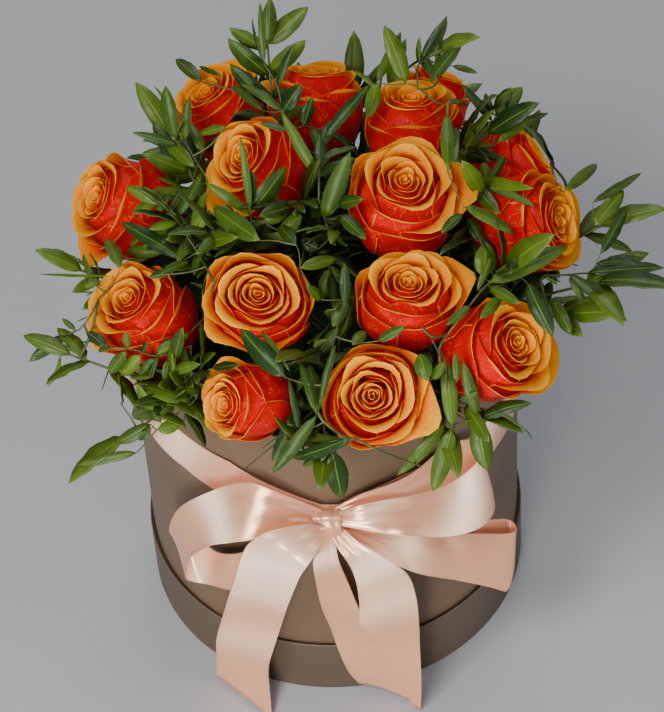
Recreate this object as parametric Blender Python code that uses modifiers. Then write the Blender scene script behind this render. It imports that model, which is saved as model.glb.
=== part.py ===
"""Box of roses: a round cardboard box on its turned-over lid, tied with a satin bow.

It holds a block of floral foam in a film liner. Fifteen roses and eighteen leafy sprays stand in
plain holes in the foam. The origin is under the lid's centre, +Z is up and the bow faces -Y.
"""

import math

import bmesh
import bpy
import numpy as np
from mathutils.bvhtree import BVHTree

MM = 0.001
GAP = 0.3 * MM

# Box, lid, liner and foam
BOX_RADIUS = 90 * MM
BOX_WALL = 2 * MM
BOX_TOP = 183 * MM
LID_WALL = 1.7 * MM
LID_FLOOR = 2.3 * MM
LID_HEIGHT = 34 * MM
LINER_WALL = 0.6 * MM
LINER_TOP = 166 * MM
FOAM_TOP = 142 * MM
HOLE_DEPTH = 48 * MM
HOLE_SIDES = 5
ROUND_SIDES = 44

LID_RADIUS = BOX_RADIUS + GAP + LID_WALL
BOX_BOTTOM = LID_FLOOR + GAP
BOX_INSIDE = BOX_RADIUS - BOX_WALL
LINER_RADIUS = BOX_INSIDE - GAP
LINER_BOTTOM = BOX_BOTTOM + BOX_WALL + GAP
FOAM_RADIUS = LINER_RADIUS - LINER_WALL - GAP
FOAM_BOTTOM = LINER_BOTTOM + LINER_WALL + GAP

# Ribbon
RIBBON_THICKNESS = 0.6 * MM
BAND_RADIUS = BOX_RADIUS + GAP + RIBBON_THICKNESS / 2
KNOT_CENTRE = np.array((-3, -97.1, 133.5)) * MM
KNOT_HALF = np.array((7.5, 5.6, 7.5)) * MM

# The band's upper and lower edge: angle round the box from the front in degrees, height in mm
BAND_UPPER = ((-180, 152), (-90, 158), (-48, 161), (-30, 159), (-15, 148), (-4, 139), (4, 139),
              (12, 147), (20, 150), (60, 149), (90, 149), (180, 152))
BAND_LOWER = ((-180, 126), (-90, 133), (-48, 137), (-30, 132), (-15, 130), (-4, 129), (4, 129),
              (12, 126), (20, 124), (60, 123), (90, 123), (180, 126))

# Each strip's two edges, as pairs of points in mm from the knot outwards
STRIPS = {
    "ribbon_loop_left": (
        ((-4, -95, 139), (-4, -99, 135)),
        ((-22, -94, 152), (-21, -103, 137)),
        ((-35, -90, 157), (-37, -105, 136)),
        ((-46, -86, 152), (-49, -104, 133)),
        ((-58, -81, 141), (-59, -98, 124)),
        ((-69, -74, 124), (-67, -90, 106)),
        ((-77, -70, 108), (-72, -83, 88)),
        ((-78, -65, 95), (-72, -75, 72)),
        ((-70, -63.5, 89), (-65, -74, 65)),
        ((-56, -76, 92), (-52, -82, 71)),
        ((-38, -87, 106), (-38, -90, 85)),
        ((-20, -93, 122), (-20, -94.5, 108)),
        ((-6, -94, 134), (-6, -95, 129)),
    ),
    "ribbon_loop_right": (
        ((-1, -96, 139), (0, -99.5, 135)),
        ((11, -97, 145), (12, -102, 134)),
        ((24, -95, 145), (22, -105, 133)),
        ((34, -92, 143), (33, -107, 133)),
        ((47, -88, 142), (49, -104, 127)),
        ((60, -82, 145), (65, -96, 123)),
        ((67, -76, 147), (73, -86, 124)),
        ((64, -70, 153), (70, -73, 128)),
        ((54, -77, 158), (57, -77, 132)),
        ((42, -84.5, 156), (43, -85, 130)),
        ((28, -90.3, 153), (28, -91, 130)),
        ((12, -93.8, 148), (12, -94.5, 133)),
        ((-1, -94, 140), (0, -95, 136)),
    ),
    "ribbon_loop_low": (
        ((-1, -96, 133), (-1, -98, 129)),
        ((14, -96, 126), (15, -101, 115)),
        ((31, -92, 116), (34, -101, 99)),
        ((49, -87, 107), (55, -99, 87)),
        ((66, -83, 101), (68, -97, 79)),
        ((79, -80, 97), (75, -95, 73)),
        ((81, -77.5, 98), (77, -92.5, 75)),
        ((78, -75, 100), (74, -89, 77)),
        ((64, -77, 104), (60, -88, 80)),
    ),
    "ribbon_tail_left": (
        ((-4, -100, 137), (-3, -101, 131)),
        ((-17, -105, 144), (-9, -109, 130)),
        ((-31, -109, 146), (-14, -113, 126)),
        ((-39, -109, 138), (-17, -113, 119)),
        ((-44, -104, 120), (-20, -108, 104)),
        ((-48, -97, 97), (-24, -103, 86)),
        ((-53, -91, 74), (-28, -99, 66)),
        ((-58, -87, 50), (-33, -97, 44)),
        ((-62, -84, 26), (-38, -97, 20)),
        ((-63, -82, 3), (-37, -108, 0.9)),
    ),
    "ribbon_tail_middle": (
        ((-6, -98, 130), (-1, -99, 129)),
        ((-8, -97.5, 117), (1, -98, 114)),
        ((-12, -96.5, 103), (5, -99, 98)),
        ((-10, -96.5, 78), (11, -99, 72)),
        ((-5, -97, 46), (18, -99, 40)),
        ((0, -97.5, 26), (24, -99.5, 19)),
        ((5, -97, 8), (33, -106, 0.9)),
    ),
    "ribbon_tail_right": (
        ((-3, -100, 131), (1, -99, 134)),
        ((0, -103, 124), (9, -105, 129)),
        ((5, -106, 115), (20, -109, 122)),
        ((7, -105.5, 99), (30, -107.5, 105)),
        ((8, -104, 82), (34, -105, 86)),
        ((8, -103, 65), (35, -104, 65)),
        ((15, -103.5, 46), (35, -104.5, 43)),
        ((23, -105, 25), (35, -106.5, 20)),
        ((31, -110, 3), (34, -110.5, 0.9)),
    ),
}

# Roses: middle of the open face in mm, lean from upright and direction of the lean in degrees
# (0 is to the front, 90 to the right), head radius and bloom length in mm
ROSES = (
    (-101, 32, 222, 51, -81, 23.5, 48),
    (-48, 76, 242, 23, -92, 19.5, 44),
    (-32, 16, 257, 36, -61, 21.0, 46),
    (5, 76, 250, 30, 168, 21.0, 46),
    (47, 44, 260, 17, 163, 20.5, 44),
    (63, 82, 236, 41, 143, 16.5, 40),
    (40, -17, 268, 12, 27, 24.0, 50),
    (102, 30, 233, 59, 105, 18.5, 44),
    (108, -21, 240, 62, 66, 21.5, 46),
    (-86, -34, 224, 27, -74, 22.0, 46),
    (-27, -57, 244, 29, -1, 22.0, 46),
    (38, -61, 250, 12, 18, 20.5, 46),
    (84, -80, 227, 46, 59, 22.0, 46),
    (-46, -91, 212, 60, -59, 17.0, 38),
    (19, -103, 225, 38, -3, 21.5, 46),
)
STEM_RADIUS = 2.2 * MM
STEM_SPREAD = 0.7
STEM_POINTS = 12
STEM_SLACK = 0.9 * MM
HIP_LENGTH = 7 * MM
SEPALS = 5
SEPAL_REACH = 0.55
SEPAL_RISE = 6 * MM

# Each bloom is turned on from the last by this share of 40 degrees
GOLDEN_SHARE = 0.618
# A bloom's half width, as shares of its head radius, at shares of its length
BODY_SHAPE = ((0.0, 0.24), (0.08, 0.5), (0.2, 0.76), (0.4, 0.95), (0.6, 1.0), (0.8, 0.9), (1.0, 0.72))
# The outline that leaves and twigs keep out of, with the sepals and the curled tips: length, width
BLOOM_OUTLINE = ((-0.2, -0.1, 0.1, 0.3, 0.6, 0.85, 1.05, 1.12), (0.3, 0.62, 0.78, 1.02, 1.12, 1.3, 1.3, 0.0))
PETAL_THICKNESS = 0.8 * MM
# Rings of petals: count, radius share, top share, half angle, outward curl, cells across and along
PETAL_RINGS = (
    (4, 1.04, 0.88, 47, 0.24, 2, 3),
    (3, 0.8, 1.0, 56, 0.06, 2, 2),
)
# The rolled bud and the cup it stands in: width and height as shares of head radius and length
CORE_SHAPE = ((0.24, 0.0), (0.47, 0.12), (0.17, 0.14), (0.46, 0.5), (0.42, 0.88))
CORE_SIDES = 6
ROOT_RADIUS = 0.2
ROOT_HEIGHT = 0.06

# Sprays: foot on the foam, then each frond's points to where its tip leaf ends, and its leaf
# length, all in mm
SPRAYS = (
    ((-15, 42), (((-14, 44, 205), (-13, 50, 262), (-17, 64, 284), (-19, 73, 295), 26),
                 ((-20, 52, 205), (-15, 64, 250), (-9, 76, 268), 28))),
    ((24, 50), (((26, 56, 215), (33, 66, 255), (36, 74, 277), 30),
                ((34, 62, 220), (58, 64, 258), (63, 80, 276), 26))),
    ((50, 36), (((60, 36, 225), (70, 40, 250), (72, 50, 259), 24),
                ((62, 20, 232), (88, 28, 255), (106, 30, 258), 28))),
    ((62, 10), (((84, 2, 222), (112, 6, 244), (128, 10, 246), 28),
                ((86, -14, 205), (126, -10, 226), (145, 2, 236), 30),
                ((82, 30, 205), (100, 50, 222), (113, 60, 214), 30))),
    ((58, -18), (((84, -34, 205), (120, -44, 222), (150, -41, 226), 34),
                 ((84, -42, 198), (116, -52, 212), (134, -58, 210), 28))),
    ((48, -34), (((60, -42, 215), (84, -48, 242), (107, -41, 245), 34),
                 ((74, -44, 205), (98, -60, 222), (109, -66, 215), 26))),
    ((34, -58), (((42, -70, 197), (51, -92, 206), (49, -105, 191), (45, -112, 173), 30),
                 ((46, -64, 198), (62, -88, 206), (68, -100, 190), (70, -107, 176), 28))),
    ((50, -48), (((52, -68, 206), (70, -93, 206), (96, -92, 199), 28),)),
    ((-4, -58), (((-2, -72, 197), (-3, -95, 200), (1, -108, 180), (3, -111, 168), 30),
                 ((-8, -72, 197), (-12, -94, 200), (-25, -106, 182), 34))),
    ((6, -38), (((2, -54, 200), (-6, -74, 214), (-20, -86, 222), 28),
                ((6, -50, 205), (8, -62, 235), (12, -54, 250), 30))),
    ((-10, 2), (((-6, -4, 205), (-4, -2, 245), (-8, 10, 268), 30),
                ((4, -10, 205), (8, -18, 245), (6, -12, 262), 28))),
    ((-22, -12), (((-22, -16, 205), (-30, -20, 238), (-46, -8, 252), 30),
                  ((-40, -28, 205), (-53, -42, 230), (-54, -30, 240), 28))),
    ((-36, 14), (((-42, 8, 210), (-56, 24, 246), (-70, 58, 262), 28),
                 ((-46, -4, 215), (-60, -10, 244), (-84, 6, 254), 28))),
    ((-56, -37), (((-66, -44, 190), (-100, -44, 200), (-132, -44, 196), 26),
                  ((-68, -46, 186), (-86, -54, 198), (-104, -52, 191), 22))),
    ((-40, -46), (((-58, -62, 188), (-88, -78, 180), (-114, -84, 167), 32),
                  ((-56, -60, 190), (-70, -74, 196), (-80, -84, 188), 26))),
    ((-60, 2), (((-78, -4, 196), (-98, -6, 212), (-125, -8, 214), 24),)),
    ((20, 64), (((20, 82, 200), (20, 104, 220), (16, 120, 214), 30),
                ((44, 74, 200), (66, 92, 206), (82, 98, 200), 28))),
    ((-34, 50), (((-50, 66, 200), (-70, 80, 214), (-90, 88, 208), 30),
                 ((-24, 78, 205), (-28, 104, 222), (-32, 118, 216), 28))),
)
TWIG_STEP = 9 * MM
TIP_SHARE = 0.85
TWIG_RADIUS = 1.0 * MM
TWIG_SLACK = 1.5 * MM
LEAF_THICKNESS = 0.65 * MM
LEAF_WIDTH = 0.3
LARGE_LEAF = 32 * MM
LARGE_LEAF_ROWS = (0, 0.33, 0.7, 1.0)
SMALL_LEAF_ROWS = (0, 0.45, 1.0)
LEAF_SPACING = 1.25
LEAF_START = 0.56
LEAF_TRIES = 14
SEED = 7

COLOURS = {
    "box_cardboard": ((0.19, 0.125, 0.08), 0.65),
    "lid_cardboard": ((0.14, 0.09, 0.055), 0.65),
    "liner_film": ((0.75, 0.77, 0.76), 0.25),
    "foam_green": ((0.06, 0.13, 0.06), 0.95),
    "satin_peach": ((0.8, 0.5, 0.36), 0.3),
    "petal_orange": ((0.85, 0.16, 0.02), 0.5),
    "stem_green": ((0.06, 0.16, 0.03), 0.5),
    "leaf_green": ((0.035, 0.14, 0.02), 0.4),
}


def remove_everything():
    for thing in list(bpy.data.objects):
        bpy.data.objects.remove(thing, do_unlink=True)


def new_collection(name):
    collection = bpy.data.collections.new(name)
    bpy.context.scene.collection.children.link(collection)
    return collection


def material(name):
    found = bpy.data.materials.get(name)
    if found:
        return found
    colour, roughness = COLOURS[name]
    made = bpy.data.materials.new(name)
    made.use_nodes = True
    shader = made.node_tree.nodes["Principled BSDF"]
    shader.inputs["Base Color"].default_value = (*colour, 1)
    shader.inputs["Roughness"].default_value = roughness
    shader.inputs["Metallic"].default_value = 0
    return made


def add_object(name, mesh, collection, finish=None):
    thing = bpy.data.objects.new(name, mesh)
    collection.objects.link(thing)
    if finish:
        mesh.materials.clear()
        mesh.materials.append(material(finish))
    return thing


def mesh_of(name, build):
    """A mesh filled in by build, which takes the bmesh."""
    mesh = bpy.data.meshes.new(name)
    bm = bmesh.new()
    build(bm)
    bm.to_mesh(mesh)
    bm.free()
    return mesh


def apply_modifiers(thing):
    """The object's evaluated shape becomes its own mesh."""
    bpy.context.view_layer.update()
    evaluated = thing.evaluated_get(bpy.context.evaluated_depsgraph_get())
    mesh = bpy.data.meshes.new_from_object(evaluated)
    thing.modifiers.clear()
    thing.data = mesh


def smooth_along(points, steps):
    """A Catmull-Rom curve through the points, with a number of steps between each two."""
    points = np.asarray(points, float)
    ends = np.vstack((2 * points[0] - points[1], points, 2 * points[-1] - points[-2]))
    curve = []
    for i in range(1, len(ends) - 2):
        before, start, stop, after = ends[i - 1:i + 3]
        for t in np.arange(steps) / steps:
            curve.append(0.5 * (2 * start + (stop - before) * t
                                + (2 * before - 5 * start + 4 * stop - after) * t ** 2
                                + (3 * start - before - 3 * stop + after) * t ** 3))
    curve.append(points[-1])
    return np.array(curve)


def unit(vector):
    return vector / np.linalg.norm(vector)


def profile_at(table, place):
    return np.interp(place, [row[0] for row in table], [row[1] for row in table])


# Layout of the roses

def rose_axis(lean, direction):
    lean, direction = math.radians(lean), math.radians(direction)
    return np.array((math.sin(lean) * math.sin(direction), -math.sin(lean) * math.cos(direction),
                     math.cos(lean)))


def rose_layout():
    """Every rose as its base, axis, side axes, radius, length and stem points."""
    layout = []
    for x, y, z, lean, direction, radius, length in ROSES:
        axis = rose_axis(lean, direction)
        side = unit(np.cross((0.0, 0.0, 1.0), axis))
        base = np.array((x, y, z)) * MM - axis * length * MM
        foot = np.array((base[0] * STEM_SPREAD, base[1] * STEM_SPREAD, FOAM_TOP))
        layout.append({
            "base": base, "axis": axis, "side": side, "across": np.cross(axis, side),
            "radius": radius * MM, "length": length * MM,
            "middle": base + axis * 0.62 * length * MM,
            "stem": stem_points(foot, base - axis * GAP, axis),
        })
    return layout


def stem_points(foot, top, axis):
    """From the bottom of the hole straight up to the foam's top, then bending over to the bloom."""
    reach = np.linalg.norm(top - foot)
    up = np.array((0, 0, 0.6 * reach))
    pull = axis * 0.9 * reach
    points = [foot - (0, 0, HOLE_DEPTH - GAP), foot]
    for t in np.linspace(0, 1, STEM_POINTS)[1:]:
        points.append((2 * t ** 3 - 3 * t ** 2 + 1) * foot + (t ** 3 - 2 * t ** 2 + t) * up
                      + (3 * t ** 2 - 2 * t ** 3) * top + (t ** 3 - t ** 2) * pull)
    return np.vstack((points[:1], fewer_points(np.array(points[1:]), STEM_SLACK)))


def fewer_points(path, slack):
    """The path without the points that lie within the slack of a straight run."""
    along = unit(path[-1] - path[0])
    offset = path - path[0]
    aside = np.linalg.norm(offset - (offset @ along)[:, None] * along, axis=1)
    if aside.max() <= slack:
        return path[[0, -1]]
    worst = aside.argmax()
    return np.vstack((fewer_points(path[:worst + 1], slack)[:-1], fewer_points(path[worst:], slack)))


def depth_in_bloom(rose, points, clear):
    """How deep each point lies inside the bloom's outline, and the way out."""
    offset = points - rose["base"]
    along = offset @ rose["axis"]
    aside = offset - along[:, None] * rose["axis"]
    distance = np.linalg.norm(aside, axis=1)
    share = along / rose["length"]
    wide = rose["radius"] * np.interp(share, *BLOOM_OUTLINE)
    wide = np.where((share > -0.2) & (share < 1.12), wide + clear, 0)
    return wide - distance, aside / np.maximum(distance, 1e-6)[:, None]


def bend_clear(points, roses, posts, reach):
    """Moves a path's points out of the blooms, off the other stems and over the box's rim."""
    points = points.copy()
    for _ in range(60):
        points[3:-1] = 0.8 * points[3:-1] + 0.1 * (points[2:-2] + points[4:])
        for rose in roses:
            depth, way = depth_in_bloom(rose, points, reach)
            push = np.where(depth > 0, depth, 0)[:, None] * way
            points[3:] += 0.6 * push[3:]
        for post in posts:
            gap = points[:, None] - post[None]
            distance = np.linalg.norm(gap, axis=2)
            near = distance.argmin(axis=1)
            row = np.arange(len(points))
            lack = np.maximum(STEM_RADIUS + 2 * reach - distance[row, near], 0)
            way = gap[row, near] / np.maximum(distance[row, near], 1e-6)[:, None]
            points[3:] += (0.5 * lack[:, None] * way)[3:]
        out = np.hypot(points[:, 0], points[:, 1])
        low = (out > BOX_INSIDE - 4 * MM) & (out < BOX_RADIUS + 4 * MM) & (points[:, 2] < BOX_TOP + 4 * MM)
        points[low, 2] = BOX_TOP + 4 * MM
    return points


def even_points(points, spacing):
    """The path with points at an even spacing."""
    steps = np.linalg.norm(np.diff(points, axis=0), axis=1)
    along = np.concatenate(([0], np.cumsum(steps)))
    count = max(3, int(round(along[-1] / spacing)) + 1)
    places = np.linspace(0, along[-1], count)
    return np.stack([np.interp(places, along, points[:, i]) for i in range(3)], axis=1)


def spray_layout(roses):
    """Every spray's twigs and leaves, each kept clear of the blooms, the stems and each other."""
    draw = np.random.default_rng(SEED)
    posts = [even_points(rose["stem"], 3 * MM) for rose in roses]
    sprays = []
    for foot, fronds in SPRAYS:
        start = np.array((foot[0] * MM, foot[1] * MM, FOAM_TOP))
        twigs = []
        for fork, frond in enumerate(fronds):
            foot_point = start + np.array((0.4, 0.3, 2.0)) * MM * fork
            route = [foot_point, foot_point + (0, 0, 20 * MM)] + [np.array(p) * MM for p in frond[:-1]]
            path = even_points(smooth_along(route, 6), TWIG_STEP)
            path = path[:-int(round(frond[-1] * MM * TIP_SHARE / TWIG_STEP))]
            path = bend_clear(path, roses, posts, TWIG_RADIUS + TWIG_SLACK + 0.3 * MM)
            path = np.vstack((path[:1], fewer_points(path[1:], TWIG_SLACK)))
            twigs.append({"path": path, "leaf": frond[-1] * MM})
        posts += [even_points(twig["path"][1:], 3 * MM) for twig in twigs]
        sprays.append({"foot": start, "twigs": twigs, "leaves": []})
    grow_leaves(sprays, roses, draw)
    return sprays


def leaf_outline(leaf, rows):
    """Left, middle and right points of a leaf at shares of its length."""
    rows = np.asarray(rows)[:, None]
    half = leaf["length"] * LEAF_WIDTH / 2 * np.sin(math.pi * rows ** 0.85) ** 0.8
    middle = (leaf["root"] + leaf["way"] * leaf["length"] * (rows - 0.08 * rows ** 2)
              - leaf["up"] * leaf["length"] * leaf["droop"] * rows ** 2)
    lift = leaf["up"] * half * 0.25
    return middle - leaf["side"] * half + lift, middle, middle + leaf["side"] * half + lift


def leaf_shell(leaf, margin):
    """A closed search tree round the leaf with a margin on each side."""
    left, middle, right = leaf_outline(leaf, (0.12, 0.35, 0.6, 0.82, 1.0))
    points = []
    faces = []
    for side in (-1, 1):
        shift = leaf["up"] * margin * side
        wider = leaf["side"] * margin
        first = len(points)
        for a, b in zip(left - wider + shift, right + wider + shift):
            points += [tuple(a), tuple(b)]
        for i in range(4):
            faces.append((first + 2 * i, first + 2 * i + 1, first + 2 * i + 3, first + 2 * i + 2))
    for i in range(4):
        for j in (0, 1):
            faces.append((2 * i + j, 2 * i + 2 + j, 10 + 2 * i + 2 + j, 10 + 2 * i + j))
    faces.append((8, 9, 19, 18))
    faces.append((0, 1, 11, 10))
    return BVHTree.FromPolygons(points, faces)


def leaf_is_clear(leaf, roses, posts, placed):
    left, middle, right = leaf_outline(leaf, (0.15, 0.4, 0.65, 0.85, 1.0))
    points = np.vstack((left, middle, right))
    for rose in roses:
        depth, _ = depth_in_bloom(rose, points, 1.5 * MM)
        if depth.max() > 0:
            return False
    out = np.hypot(points[:, 0], points[:, 1])
    if ((out > BOX_INSIDE - 3 * MM) & (out < BOX_RADIUS + 5 * MM) & (points[:, 2] < BOX_TOP + 3 * MM)).any():
        return False
    if points[:, 2].min() < LINER_TOP + 4 * MM and out.min() < BOX_INSIDE:
        return False
    centre = middle[2]
    shell = None
    for post, radius in posts:
        near = post[np.linalg.norm(post - centre, axis=1) < leaf["length"]]
        for point in near:
            shell = shell or leaf_shell(leaf, 0.6 * MM)
            if shell.find_nearest(tuple(point), radius + 1.0 * MM)[0] is not None:
                return False
    for other, other_shell, other_centre in placed:
        if other["spray"] == leaf["spray"]:
            continue
        if np.linalg.norm(other_centre - centre) < leaf["length"] + other["length"]:
            shell = shell or leaf_shell(leaf, 0.6 * MM)
            if shell.overlap(other_shell):
                return False
    return True


def grow_leaves(sprays, roses, draw):
    """Leaves in pairs up each twig and one at its tip, turned until they are clear."""
    placed = []
    for number, spray in enumerate(sprays):
        posts = [(even_points(rose["stem"], 2 * MM), STEM_RADIUS) for rose in roses]
        for other in sprays:
            if other is not spray:
                posts += [(even_points(twig["path"], 2 * MM), TWIG_RADIUS) for twig in other["twigs"]]
        for twig in spray["twigs"]:
            path = even_points(twig["path"], 1 * MM)
            last = len(path) - 1
            spacing = twig["leaf"] * LEAF_SPACING
            place = int(last * LEAF_START)
            spots = []
            while place < last - 5:
                spots += [(place, -1), (min(place + 2, last), 1)]
                place += max(6, int(spacing / MM))
            spots.append((last - 2, 0))
            for at, hand in spots:
                along = unit(path[min(at + 3, last)] - path[max(at - 3, 0)])
                flat = np.cross(along, (0.0, 0.0, 1.0))
                flat = unit(flat) if np.linalg.norm(flat) > 0.05 else np.array((1.0, 0.0, 0.0))
                size = twig["leaf"] * draw.uniform(0.85, 1.1) * (1.0 if hand else 1.05)
                for attempt in range(LEAF_TRIES):
                    loose = 0.25 + 0.12 * attempt
                    turn = draw.uniform(-loose, loose)
                    out = unit(flat * math.cos(turn) + np.cross(along, flat) * math.sin(turn))
                    out = out * (hand or 0.15)
                    way = unit(along * draw.uniform(0.75, 1.15) + out)
                    side = unit(np.cross(way, np.cross(along, flat) + 0.35 * draw.normal(size=3)))
                    up = np.cross(side, way)
                    if up[2] < 0:
                        side, up = -side, -up
                    leaf = {"root": path[at], "way": way, "side": side, "up": up, "spray": number,
                            "length": size * (1 - 0.02 * attempt), "droop": draw.uniform(0.05, 0.25)}
                    if leaf_is_clear(leaf, roses, posts, placed):
                        placed.append((leaf, leaf_shell(leaf, 0.6 * MM),
                                       leaf_outline(leaf, (0.6,))[1][0]))
                        spray["leaves"].append(leaf)
                        break


# Modelling tools

def cup(name, radius, wall, floor, bottom, top, collection, finish):
    """A round cup turned from its section."""
    inside = radius - wall
    section = ((0, bottom + floor), (inside, bottom + floor), (inside, top), (radius, top),
               (radius, bottom), (0, bottom))

    def build(bm):
        corners = [bm.verts.new((x, 0, z)) for x, z in section]
        for a, b in zip(corners, corners[1:]):
            bm.edges.new((a, b))

    thing = add_object(name, mesh_of(name, build), collection, finish)
    screw = thing.modifiers.new("turn", "SCREW")
    screw.steps = ROUND_SIDES
    screw.render_steps = ROUND_SIDES
    screw.use_merge_vertices = True
    screw.merge_threshold = 0.00005
    return thing


def keep_outer_body(mesh):
    """Fills hollows that a union sealed and drops loose scraps: only the largest shell stays."""
    bm = bmesh.new()
    bm.from_mesh(mesh)
    left = set(bm.verts)
    shells = []
    while left:
        shell = {left.pop()}
        edge = set(shell)
        while edge:
            edge = {e.other_vert(v) for v in edge for e in v.link_edges} - shell
            shell |= edge
        left -= shell
        shells.append(shell)
    shells.sort(key=len)
    bmesh.ops.delete(bm, geom=[vert for shell in shells[:-1] for vert in shell], context="VERTS")
    bm.to_mesh(mesh)
    bm.free()


def union(name, pieces, finish):
    """One body from several overlapping ones."""
    first, rest = pieces[0], pieces[1:]
    group = bpy.data.collections.new(name + "_pieces")
    bpy.context.scene.collection.children.link(group)
    for piece in rest:
        for holder in list(piece.users_collection):
            holder.objects.unlink(piece)
        group.objects.link(piece)
    join = first.modifiers.new("join", "BOOLEAN")
    join.operation = "UNION"
    join.operand_type = "COLLECTION"
    join.collection = group
    join.solver = "MANIFOLD"
    apply_modifiers(first)
    for piece in rest:
        bpy.data.objects.remove(piece, do_unlink=True)
    bpy.data.collections.remove(group)
    keep_outer_body(first.data)
    first.name = name
    first.data.name = name
    first.data.materials.clear()
    first.data.materials.append(material(finish))
    return first


def sheet(name, grid, thickness, collection):
    """A thin sheet through a grid of points, thickened on both sides."""
    rows, columns = len(grid), len(grid[0])

    def build(bm):
        bmesh.ops.create_grid(bm, x_segments=columns - 1, y_segments=rows - 1, size=0.5)
        bm.verts.ensure_lookup_table()
        order = sorted(bm.verts, key=lambda v: (round(v.co.y, 4), round(v.co.x, 4)))
        for vert, point in zip(order, (p for row in grid for p in row)):
            vert.co = point
        bmesh.ops.remove_doubles(bm, verts=bm.verts, dist=0.00002)
        bmesh.ops.triangulate(bm, faces=bm.faces)

    thing = add_object(name, mesh_of(name, build), collection)
    solid = thing.modifiers.new("thickness", "SOLIDIFY")
    solid.thickness = thickness
    solid.offset = 0
    apply_modifiers(thing)
    return thing


def tube(name, points, radius, resolution, collection):
    """A round rod through points, as a closed mesh."""
    curve = bpy.data.curves.new(name, "CURVE")
    curve.dimensions = "3D"
    curve.bevel_depth = radius
    curve.bevel_resolution = resolution
    curve.use_fill_caps = True
    spline = curve.splines.new("POLY")
    spline.points.add(len(points) - 1)
    for spot, point in zip(spline.points, points):
        spot.co = (*point, 1)
    rod = bpy.data.objects.new(name, curve)
    collection.objects.link(rod)
    bpy.context.view_layer.update()
    mesh = bpy.data.meshes.new_from_object(rod.evaluated_get(bpy.context.evaluated_depsgraph_get()))
    bpy.data.objects.remove(rod, do_unlink=True)
    bm = bmesh.new()
    bm.from_mesh(mesh)
    bmesh.ops.remove_doubles(bm, verts=bm.verts, dist=0.00001)
    bmesh.ops.recalc_face_normals(bm, faces=bm.faces)
    bm.to_mesh(mesh)
    bm.free()
    return add_object(name, mesh, collection)


def cone(name, low, high, low_radius, high_radius, sides, collection):
    """A straight tapered rod from one point to another."""
    axis = high - low
    side = np.cross(axis, (1.0, 0.0, 0.0) if abs(axis[0]) < 0.9 * np.linalg.norm(axis) else (0.0, 1.0, 0.0))
    side = unit(side)
    across = np.cross(unit(axis), side)

    def build(bm):
        bmesh.ops.create_cone(bm, cap_ends=True, cap_tris=False, segments=sides, radius1=low_radius,
                              radius2=high_radius, depth=1)
        for vert in bm.verts:
            x, y, z = vert.co
            vert.co = low + axis * (z + 0.5) + side * x + across * y
        bmesh.ops.recalc_face_normals(bm, faces=bm.faces)

    return add_object(name, mesh_of(name, build), collection)


# Box, lid, liner and foam

def build_box(collection):
    cup("box_body", BOX_RADIUS, BOX_WALL, BOX_WALL, BOX_BOTTOM, BOX_TOP, collection, "box_cardboard")
    cup("box_lid", LID_RADIUS, LID_WALL, LID_FLOOR, 0, LID_HEIGHT, collection, "lid_cardboard")
    cup("liner", LINER_RADIUS, LINER_WALL, LINER_WALL, LINER_BOTTOM, LINER_TOP, collection, "liner_film")


def build_foam(roses, sprays, collection, cutters):
    """The foam block with a plain blind hole for every stem."""

    def block(bm):
        bmesh.ops.create_cone(bm, cap_ends=True, segments=ROUND_SIDES, radius1=FOAM_RADIUS,
                              radius2=FOAM_RADIUS, depth=FOAM_TOP - FOAM_BOTTOM)
        bmesh.ops.translate(bm, verts=bm.verts, vec=(0, 0, (FOAM_TOP + FOAM_BOTTOM) / 2))

    foam = add_object("foam", mesh_of("foam", block), collection, "foam_green")
    room = 1 / math.cos(math.pi / HOLE_SIDES)
    holes = [(rose["stem"][1], STEM_RADIUS) for rose in roses]
    holes += [(spray["foot"], TWIG_RADIUS) for spray in sprays]
    for number, (foot, radius) in enumerate(holes):
        hole = cone(f"hole_{number}", foot - (0, 0, HOLE_DEPTH), foot + (0, 0, 5 * MM),
                    (radius + GAP) * room, (radius + GAP) * room, HOLE_SIDES, cutters)
        hole.hide_render = True
        hole.display_type = "WIRE"
    cut = foam.modifiers.new("holes", "BOOLEAN")
    cut.operation = "DIFFERENCE"
    cut.operand_type = "COLLECTION"
    cut.collection = cutters


# Ribbon

def build_band(collection):
    """The band round the box, gathered behind the knot."""
    angles = np.arange(-180, 180, 360 / ROUND_SIDES)
    highs = profile_at(BAND_UPPER, angles) * MM
    lows = profile_at(BAND_LOWER, angles) * MM

    def build(bm):
        rings = []
        for angle, high, low in zip(np.radians(angles), highs, lows):
            out = np.array((math.sin(angle), -math.cos(angle), 0))
            ring = []
            for radius, height in ((BAND_RADIUS - RIBBON_THICKNESS / 2, low),
                                   (BAND_RADIUS + RIBBON_THICKNESS / 2, low),
                                   (BAND_RADIUS + RIBBON_THICKNESS / 2, high),
                                   (BAND_RADIUS - RIBBON_THICKNESS / 2, high)):
                ring.append(bm.verts.new(out * radius + (0, 0, height)))
            rings.append(ring)
        for ring, following in zip(rings, rings[1:] + rings[:1]):
            for i in range(4):
                j = (i + 1) % 4
                bm.faces.new((ring[i], ring[j], following[j], following[i]))
        bmesh.ops.recalc_face_normals(bm, faces=bm.faces)

    add_object("ribbon_band", mesh_of("ribbon_band", build), collection, "satin_peach")


def knot_mesh(name, grow):
    def build(bm):
        bmesh.ops.create_uvsphere(bm, u_segments=10, v_segments=7, radius=1)
        for vert in bm.verts:
            vert.co = KNOT_CENTRE + np.array(vert.co) * (KNOT_HALF + grow)

    return mesh_of(name, build)


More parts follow.
